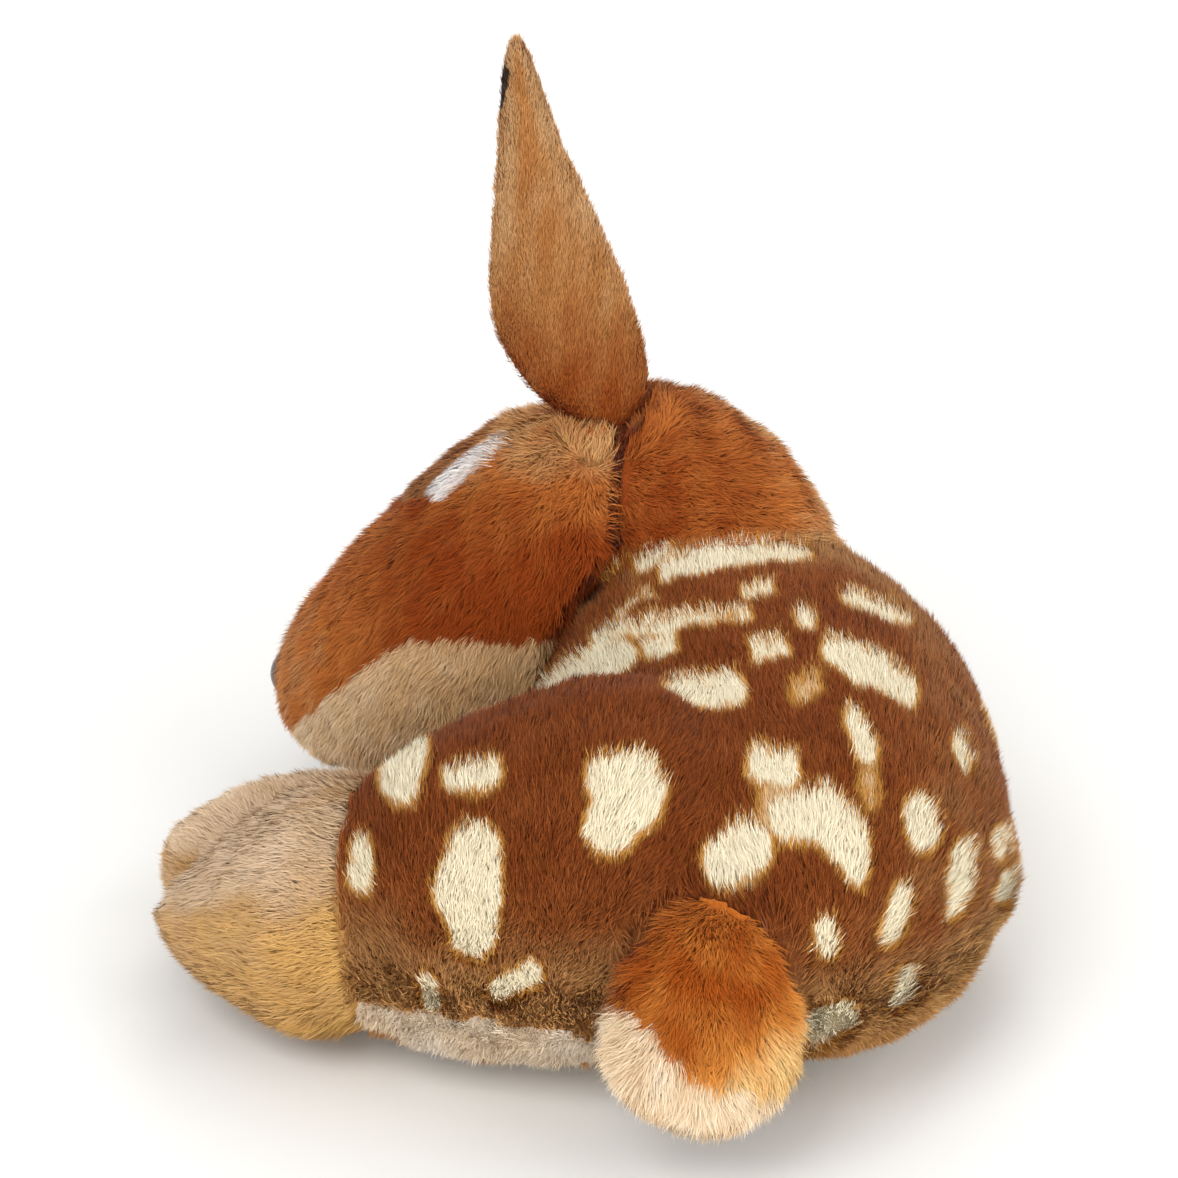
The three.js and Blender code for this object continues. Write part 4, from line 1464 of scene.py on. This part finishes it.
        def rust(places: Places, normals: Ways) -> Shades:
            """Rust with a golden outer side, lighter along the fold as painted light over the crease's
            shade, and lighter where the skin faces up as a painted highlight.

            Args:
                places: Places on the skin.
                normals: The skin's normals there.

            Returns:
                The place of each on the palette.
            """
            right = smooth_step((places[:, 0] - low.x) / (high.x - low.x), 0.55, 1.0)
            # painted light: lighter along the fold by the head, evening out the crease's shade
            fold = 1 - smooth_step((places[:, 0] - low.x) / MM, 2.0, 8.0)
            shade = 0.14 + 0.08 * patchy.at(places) + 0.05 * broad.at(places)
            # painted highlight: lighter where the skin faces up
            top = smooth_step(normals[:, 2], 0.5, 0.95)
            crest = smooth_step(normals[:, 1], -0.15, 0.35)
            return np.clip(shade + 0.42 * right + 0.22 * fold + 0.16 * top + 0.35 * crest, 0.03, 0.82)

        def brushed(places: Places, normals: Ways) -> Ways:
            """Brushes the neck away from the head, but its first few millimetres over the fold."""
            near = 1 - smooth_step((places[:, 0] - low.x) / MM, 2.5, 8.0)[:, None]
            return np.array([0.9, -0.1, -0.4]) * (1 - near) + np.array([-0.6, -0.2, -0.7]) * near

        pile = Pile(lean=math.radians(46), clump=math.radians(20))
        panel = Panel("neck_plush", RUST, pile, over_ear(brushed), rust, 40)
        self.finish(panel.build(skin, chosen), "neck")

    @staticmethod
    def leg_dye(number: int, thigh: float) -> Dye:
        """Returns the dye of one leg.

        Args:
            number: The leg's number, which fixes its patches and streaks.
            thigh: Where the thigh ends, in x.

        Returns:
            The dye.
        """
        patchy, streaks = Waves(60 + number, 12), Waves(160 + number, 7)

        def tan(places: Places, normals: Ways) -> Shades:
            """Gold near the thigh, then tan, then a paler greyer tan at the toes, with a painted highlight
            along the top where the skin faces up.

            Args:
                places: Places on the skin.
                normals: The skin's normals there.

            Returns:
                The place of each on the palette.
            """
            along = (thigh - places[:, 0]) / (60 * MM)
            lines = 0.07 * streaks.at(places * np.array([0.25, 1.0, 1.0]))
            # painted highlight: paler along the top of the leg, where the skin faces up
            painted_top_highlight = 0.60 * smooth_step(normals[:, 2], 0.30, 0.8)
            return np.clip(0.02 + 0.55 * along + 0.07 * patchy.at(places) + lines + painted_top_highlight, 0.03, 0.95)

        return tan

    def build_legs(self, skin: Skin, sides: np.ndarray) -> None:
        """Makes the hocks and feet, brushed towards their toes.

        Args:
            skin: The trunk's skin.
            sides: The number of the panel that each of its triangles belongs to.
        """
        thigh = float(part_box("hock_left")[1].x)
        pile = Pile(length_mm=4.6, per_mm2=7.0, lean=math.radians(52))
        for k, (node, pull) in enumerate(self.LEGS.items()):
            panel = Panel(node + "_plush", TAN, pile, pulled(*pull), self.leg_dye(k, thigh), 50 + k)
            self.finish(panel.build(skin, sides == 4 + k), node)


class Side(Enum):
    """The sides of the head, as the toy itself has them."""

    LEFT = "left"
    RIGHT = "right"


class Head:
    """The head: its rust cover, cream chin and pale patches, with the buttons of the face."""

    NODES = ("head_cover", "chin_panel", "eye_patch_left", "eye_patch_right", "head_filling")
    BESIDE = ("neck", "back_panel", "ear_left_back", "ear_right_back")
    # The radius round each button that is kept free of pile
    BALLS = {"eye_left": 5.4 * MM, "eye_right": 5.4 * MM, "nose": 3.6 * MM}
    # The pale stripe at the brow: pixel across, pixel down, radius in pixels
    STRIPE = ((434, 494, 12.0), (466, 465, 12.5), (497, 438, 9.0))
    STRIPE_EDGE = (-1.5, 1.0)  # where its dye starts and stops to fade, in pixels outside it
    FAR = 9.0  # the distance that is given where the camera doesn't see the skin
    EDGE_ON = 0.15  # skin that faces away from the camera by more than this counts as hidden

    def __init__(self, camera: PhotoCamera) -> None:
        """Keeps the camera that the pale stripe at the brow is read from."""
        self.camera = camera

    def rounded(self, name: str, node: str, finish: PlasticFinish) -> None:
        """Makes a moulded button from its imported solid, rounded all over.

        Args:
            name: The piece's name.
            node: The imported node.
            finish: The button's plastic.
        """
        piece = copy_nodes(name, (node,))
        bpy.ops.object.mode_set(mode="EDIT")
        bpy.ops.mesh.select_all(action="SELECT")
        bpy.ops.mesh.tris_convert_to_quads()
        bpy.ops.object.mode_set(mode="OBJECT")
        apply_modifier(piece, "SUBSURF", levels=2, render_levels=2)
        piece.data.shade_smooth()
        piece.data.materials.append(finish.material())
        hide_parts(node)
        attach(piece, "head")
        LOG.info("%s: %d triangles", name, len(triangles(piece.data)))

    def build(self) -> None:
        """Makes the cover, chin, patches and buttons."""
        skin = Skin("head_skin", self.NODES, self.BESIDE, voxel_mm=1.8).build()
        sides = nearest_panel(skin, tuple((node,) for node in self.NODES[:4]))
        nodes = frame["nodes"]
        away = [(Vector(corners(nodes[node].data).mean(0)), ball) for node, ball in self.BALLS.items()]
        low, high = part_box("head_cover")
        patchy, broad, tone = Waves(71, 9), Waves(72, 30), Waves(90, 10)
        stripe = np.array(self.STRIPE, float)

        def to_stripe(places: Places, normals: Ways, hidden: float) -> Shades:
            """Returns how far places are outside the stripe in pixels, or hidden where they are hidden.

            Args:
                places: Places on the skin.
                normals: The skin's normals there.
                hidden: The number that stands for a distance where the camera doesn't see the skin.

            Returns:
                The distances in pixels.
            """
            seen = normals @ np.array(self.camera.forward) < self.EDGE_ON
            gap = Spots.to_chain(self.camera.pixels(places), stripe[:, :2], stripe[:, 2])
            return np.where(seen, gap, hidden)

        def along(places: Places) -> Shades:
            """Returns 0 at the back of the head and 1 at the tip of the muzzle."""
            return (high.x - places[:, 0]) / (high.x - low.x)

        def rust(places: Places, normals: Ways) -> Shades:
            """Deep rust on the cheek, golden towards the muzzle, with the pale stripe. The top of the head
            is lighter as a painted highlight, and its back lighter along the fold as painted light over the
            crease's shade.

            Args:
                places: Places on the skin.
                normals: The skin's normals there.

            Returns:
                The place of each on the palette.
            """
            way = along(places)
            # the muzzle's gold is its own colour; the part from upward normals is a painted highlight
            light = 0.48 * smooth_step(way, 0.5, 1.0) + 0.50 * smooth_step(normals[:, 2], 0.48, 0.90)
            # painted highlight: lighter near the top of the head
            light += 0.13 * smooth_step(places[:, 2], high.z - 26 * MM, high.z - 6 * MM)
            # painted light: lighter along the fold at the back of the head, evening out the crease's shade
            fold = 0.12 * (1 - smooth_step(way, 0.02, 0.14))
            shade = 0.03 + 0.06 * patchy.at(places) + 0.04 * broad.at(places)
            shade = np.clip(shade + light + fold, 0.03, 0.82)
            edge = to_stripe(places, normals, self.FAR)
            return np.maximum(shade, np.interp(edge, self.STRIPE_EDGE, (0.97, 0.0)))

        def cream(places: Places, normals: Ways) -> Shades:
            """Tan cream along the jaw, paler towards the muzzle."""
            muzzle = 0.22 * smooth_step(along(places), 0.4, 1.0)
            return np.clip(0.06 + muzzle + 0.05 * patchy.at(places), 0.03, 0.95)

        def pale(places: Places, normals: Ways) -> Shades:
            """Nearly white, with brown lashes above the stripe that the photograph shows."""
            edge = to_stripe(places, normals, -self.FAR)
            return np.interp(edge, self.STRIPE_EDGE, (0.90, 0.15)) + 0.04 * tone.at(places)

        down = over_ear(over_fold(pulled(-0.35, -0.1, -0.95), high.x))
        short = Pile(length_mm=4.2, lean=math.radians(58))
        panels = (
            Panel("head_plush", RUST, Pile(clump=math.radians(17)), down, rust, 70),
            Panel("chin_plush", CREAM, Pile(length_mm=4.6, softness=0.22), down, cream, 75),
            Panel("eye_patch_plush_left", PATCH, short, down, pale, 80),
            Panel("eye_patch_plush_right", PATCH, short, down, pale, 81),
        )
        for k, panel in enumerate(panels):
            piece = panel.build(skin, sides == k, away)
            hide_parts(*((self.NODES[0], self.NODES[4]) if k == 0 else (self.NODES[k],)))
            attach(piece, "head")
        remove(skin.piece)
        self.rounded("nose_button", "nose", NOSE_BLACK)
        for side in Side:
            self.rounded(f"eye_button_{side.value}", f"eye_{side.value}", EYE_BLACK)


@dataclass
class Ear:
    """One ear: a tan back with short pile and a pale lining.

    The dark edge is the lining's dark tip that turns over beside the standing ear's tip, given as
    discs: pixel across, pixel down, radius in pixels.
    """

    side: Side
    flow: tuple[float, float, float]
    seed: int
    camera: PhotoCamera
    dark_edge: Stroke = ((506, 68, 3), (502, 86, 4), (500, 103, 3))
    dark_tip_mm: float = 78.0  # how far from the pivot the lining turns dark

    # The lengths, widths, numbers, leans and strays of the two piles
    BACK_PILE = Pile(
        length_mm=2.8,
        width_mm=0.2,
        per_mm2=10.0,
        lean=math.radians(72),
        curl=math.radians(14),
        scatter=math.radians(8),
        clump=math.radians(6),
    )
    LINING_PILE = Pile(length_mm=2.0, width_mm=0.2, per_mm2=8.0, lean=math.radians(68))

    def build(self) -> None:
        """Makes the back and the lining."""
        body = f"ear_{self.side.value}"
        pivot = pivot_of(body)
        along = unit(np.array([self.flow]))[0]
        across = np.ones(3) - 0.85 * np.abs(along)
        patchy, streaks = Waves(self.seed + 5, 14), Waves(self.seed + 6, 4.5)
        tip = np.array(self.dark_edge, float)

        def tan(places: Places, normals: Ways) -> Shades:
            """Rust at the root, then tan, with fine darker streaks along the ear and paler edges.

            Args:
                places: Places on the skin.
                normals: The skin's normals there.

            Returns:
                The place of each on the palette.
            """
            up = (places - pivot) @ along
            rise = smooth_step(up, -2 * MM, 42 * MM)
            edge = smooth_step(np.abs(normals[:, 0]), 0.35, 0.8)
            shade = 0.08 + 0.44 * rise + 0.05 * patchy.at(places) + 0.06 * streaks.at(places * across)
            shade = np.clip(shade + 0.25 * edge * rise, 0.06, 0.95)
            dark = Spots.to_chain(self.camera.pixels(places), tip[:, :2], tip[:, 2]) < 0
            return np.where(dark & (self.side is Side.LEFT), 0.0, shade)

        def pale(places: Places, normals: Ways) -> Shades:
            """Grey white, with a dark tip."""
            up = (places - pivot) @ along
            return np.where(up > self.dark_tip_mm * MM, 0.02, 0.62 + 0.06 * patchy.at(places))

        parts = (("back", EAR, self.BACK_PILE, tan, 0.3), ("lining", LINING, self.LINING_PILE, pale, 0.2))
        for k, (part, finish, pile, dye, inset) in enumerate(parts):
            node = f"{body}_{part}"
            skin = Skin(node + "_skin", (node,), voxel_mm=0, inset_mm=inset, smoothing=6, fill_mm=0).build()
            panel = Panel(node + "_plush", finish, pile, pulled(*self.flow), dye, self.seed + k)
            piece = panel.build(skin, np.ones(len(triangles(skin.piece.data)), bool))
            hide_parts(node)
            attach(piece, body)
            remove(skin.piece)


@dataclass
class Tail:
    """The flap tail with its longer pile: orange above, cream below and at the tip."""

    camera: PhotoCamera
    rise: float = 0.93  # how far the fibres that hang below the tip shorten the backing

    NODES = ("tail_top", "tail_underside")
    # The seam between orange and cream, as pixels across and down
    SEAM = ((560, 985), (600, 1000), (632, 1008), (660, 1032), (690, 1074), (740, 1094), (830, 1104))
    # The fold's painted shade: a pixel on it, how steeply it falls to the right, and its width in pixels
    FOLD, FOLD_SLOPE, FOLD_WIDTH = (700, 985), 0.35, 16

    @staticmethod
    def flow(places: Places, normals: Ways) -> Ways:
        """Brushes the pile down and outwards from the root.

        Args:
            places: Places on the skin.
            normals: The skin's normals there. Not used.

        Returns:
            The way that the pile is brushed at each place.
        """
        middle = np.array((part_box("tail_top")[0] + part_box("tail_top")[1]) / 2)
        out = (places - middle) * np.array([1.0, 0.5, 0.6]) / (25 * MM)
        return np.array([-0.1, -0.35, -0.9]) + 0.6 * out

    def build(self) -> None:
        """Makes both sides of the tail."""
        skin = Skin("tail_skin", self.NODES, voxel_mm=1.6, inset_mm=2.8, smoothing=9).build()
        sides = nearest_panel(skin, tuple((node,) for node in self.NODES))
        low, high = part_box("tail_top")
        places = corners(skin.piece.data)
        places[:, 2] = high.z - (high.z - places[:, 2]) * self.rise
        skin.piece.data.vertices.foreach_set("co", places.astype(np.float32).ravel())
        middles = skin.middles()
        pixels = self.camera.pixels(middles)
        edge = np.interp(pixels[:, 0], *zip(*self.SEAM)) + 3 * Waves(103, 8).at(middles)
        sides = np.where(pixels[:, 1] > edge, 1, sides)
        patchy = Waves(101, 8)

        def orange(places: Places, normals: Ways) -> Shades:
            """Orange at the root with painted shade in the fold, golden low down on the right.

            Args:
                places: Places on the skin.
                normals: The skin's normals there. Not used.

            Returns:
                The place of each on the palette.
            """
            x, y = self.camera.pixels(places).T
            fall = (high.z - places[:, 2]) / (high.z - low.z)
            right = (places[:, 0] - low.x) / (high.x - low.x)
            below = y - self.FOLD[1] - self.FOLD_SLOPE * (x - self.FOLD[0])
            # painted shade: darker along the fold
            fold = np.exp(-((below / self.FOLD_WIDTH) ** 2))
            shade = 0.18 + 0.76 * smooth_step(fall + 0.4 * right, 0.62, 1.05) - 0.14 * fold
            return np.clip(shade + 0.07 * patchy.at(places), 0.03, 0.95)

        def cream(places: Places, normals: Ways) -> Shades:
            """Cream all over, whiter at the tips."""
            return np.clip(0.42 + 0.10 * patchy.at(places), 0.03, 0.95)

        lean, clump = math.radians(52), math.radians(20)
        pile = Pile(length_mm=6.6, width_mm=0.24, per_mm2=10.0, lean=lean, clump=clump)
        for k, (node, finish, dye) in enumerate(zip(self.NODES, (ORANGE, CREAM), (orange, cream))):
            piece = Panel(node + "_plush", finish, pile, self.flow, dye, 100 + k).build(skin, sides == k)
            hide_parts(node)
            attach(piece, "tail")
        remove(skin.piece)


def finish_hidden_parts() -> None:
    """Gives the washers inside the head their moulded plastic."""
    for name, node in frame["nodes"].items():
        if "washer" in name:
            node.data.materials.clear()
            node.data.materials.append(WASHER.material())


def main() -> None:
    """Builds the toy and its studio."""
    logging.basicConfig(level=logging.INFO, format="%(message)s")
    camera = PhotoCamera()
    camera.build()
    Studio().build()
    Trunk(camera).build()
    Head(camera).build()
    Ear(Side.LEFT, (0.1, -0.1, 1.0), 110, camera).build()
    Ear(Side.RIGHT, (0.0, 1.0, -0.3), 120, camera).build()
    Tail(camera).build()
    finish_hidden_parts()


if __name__ == "__main__":
    main()
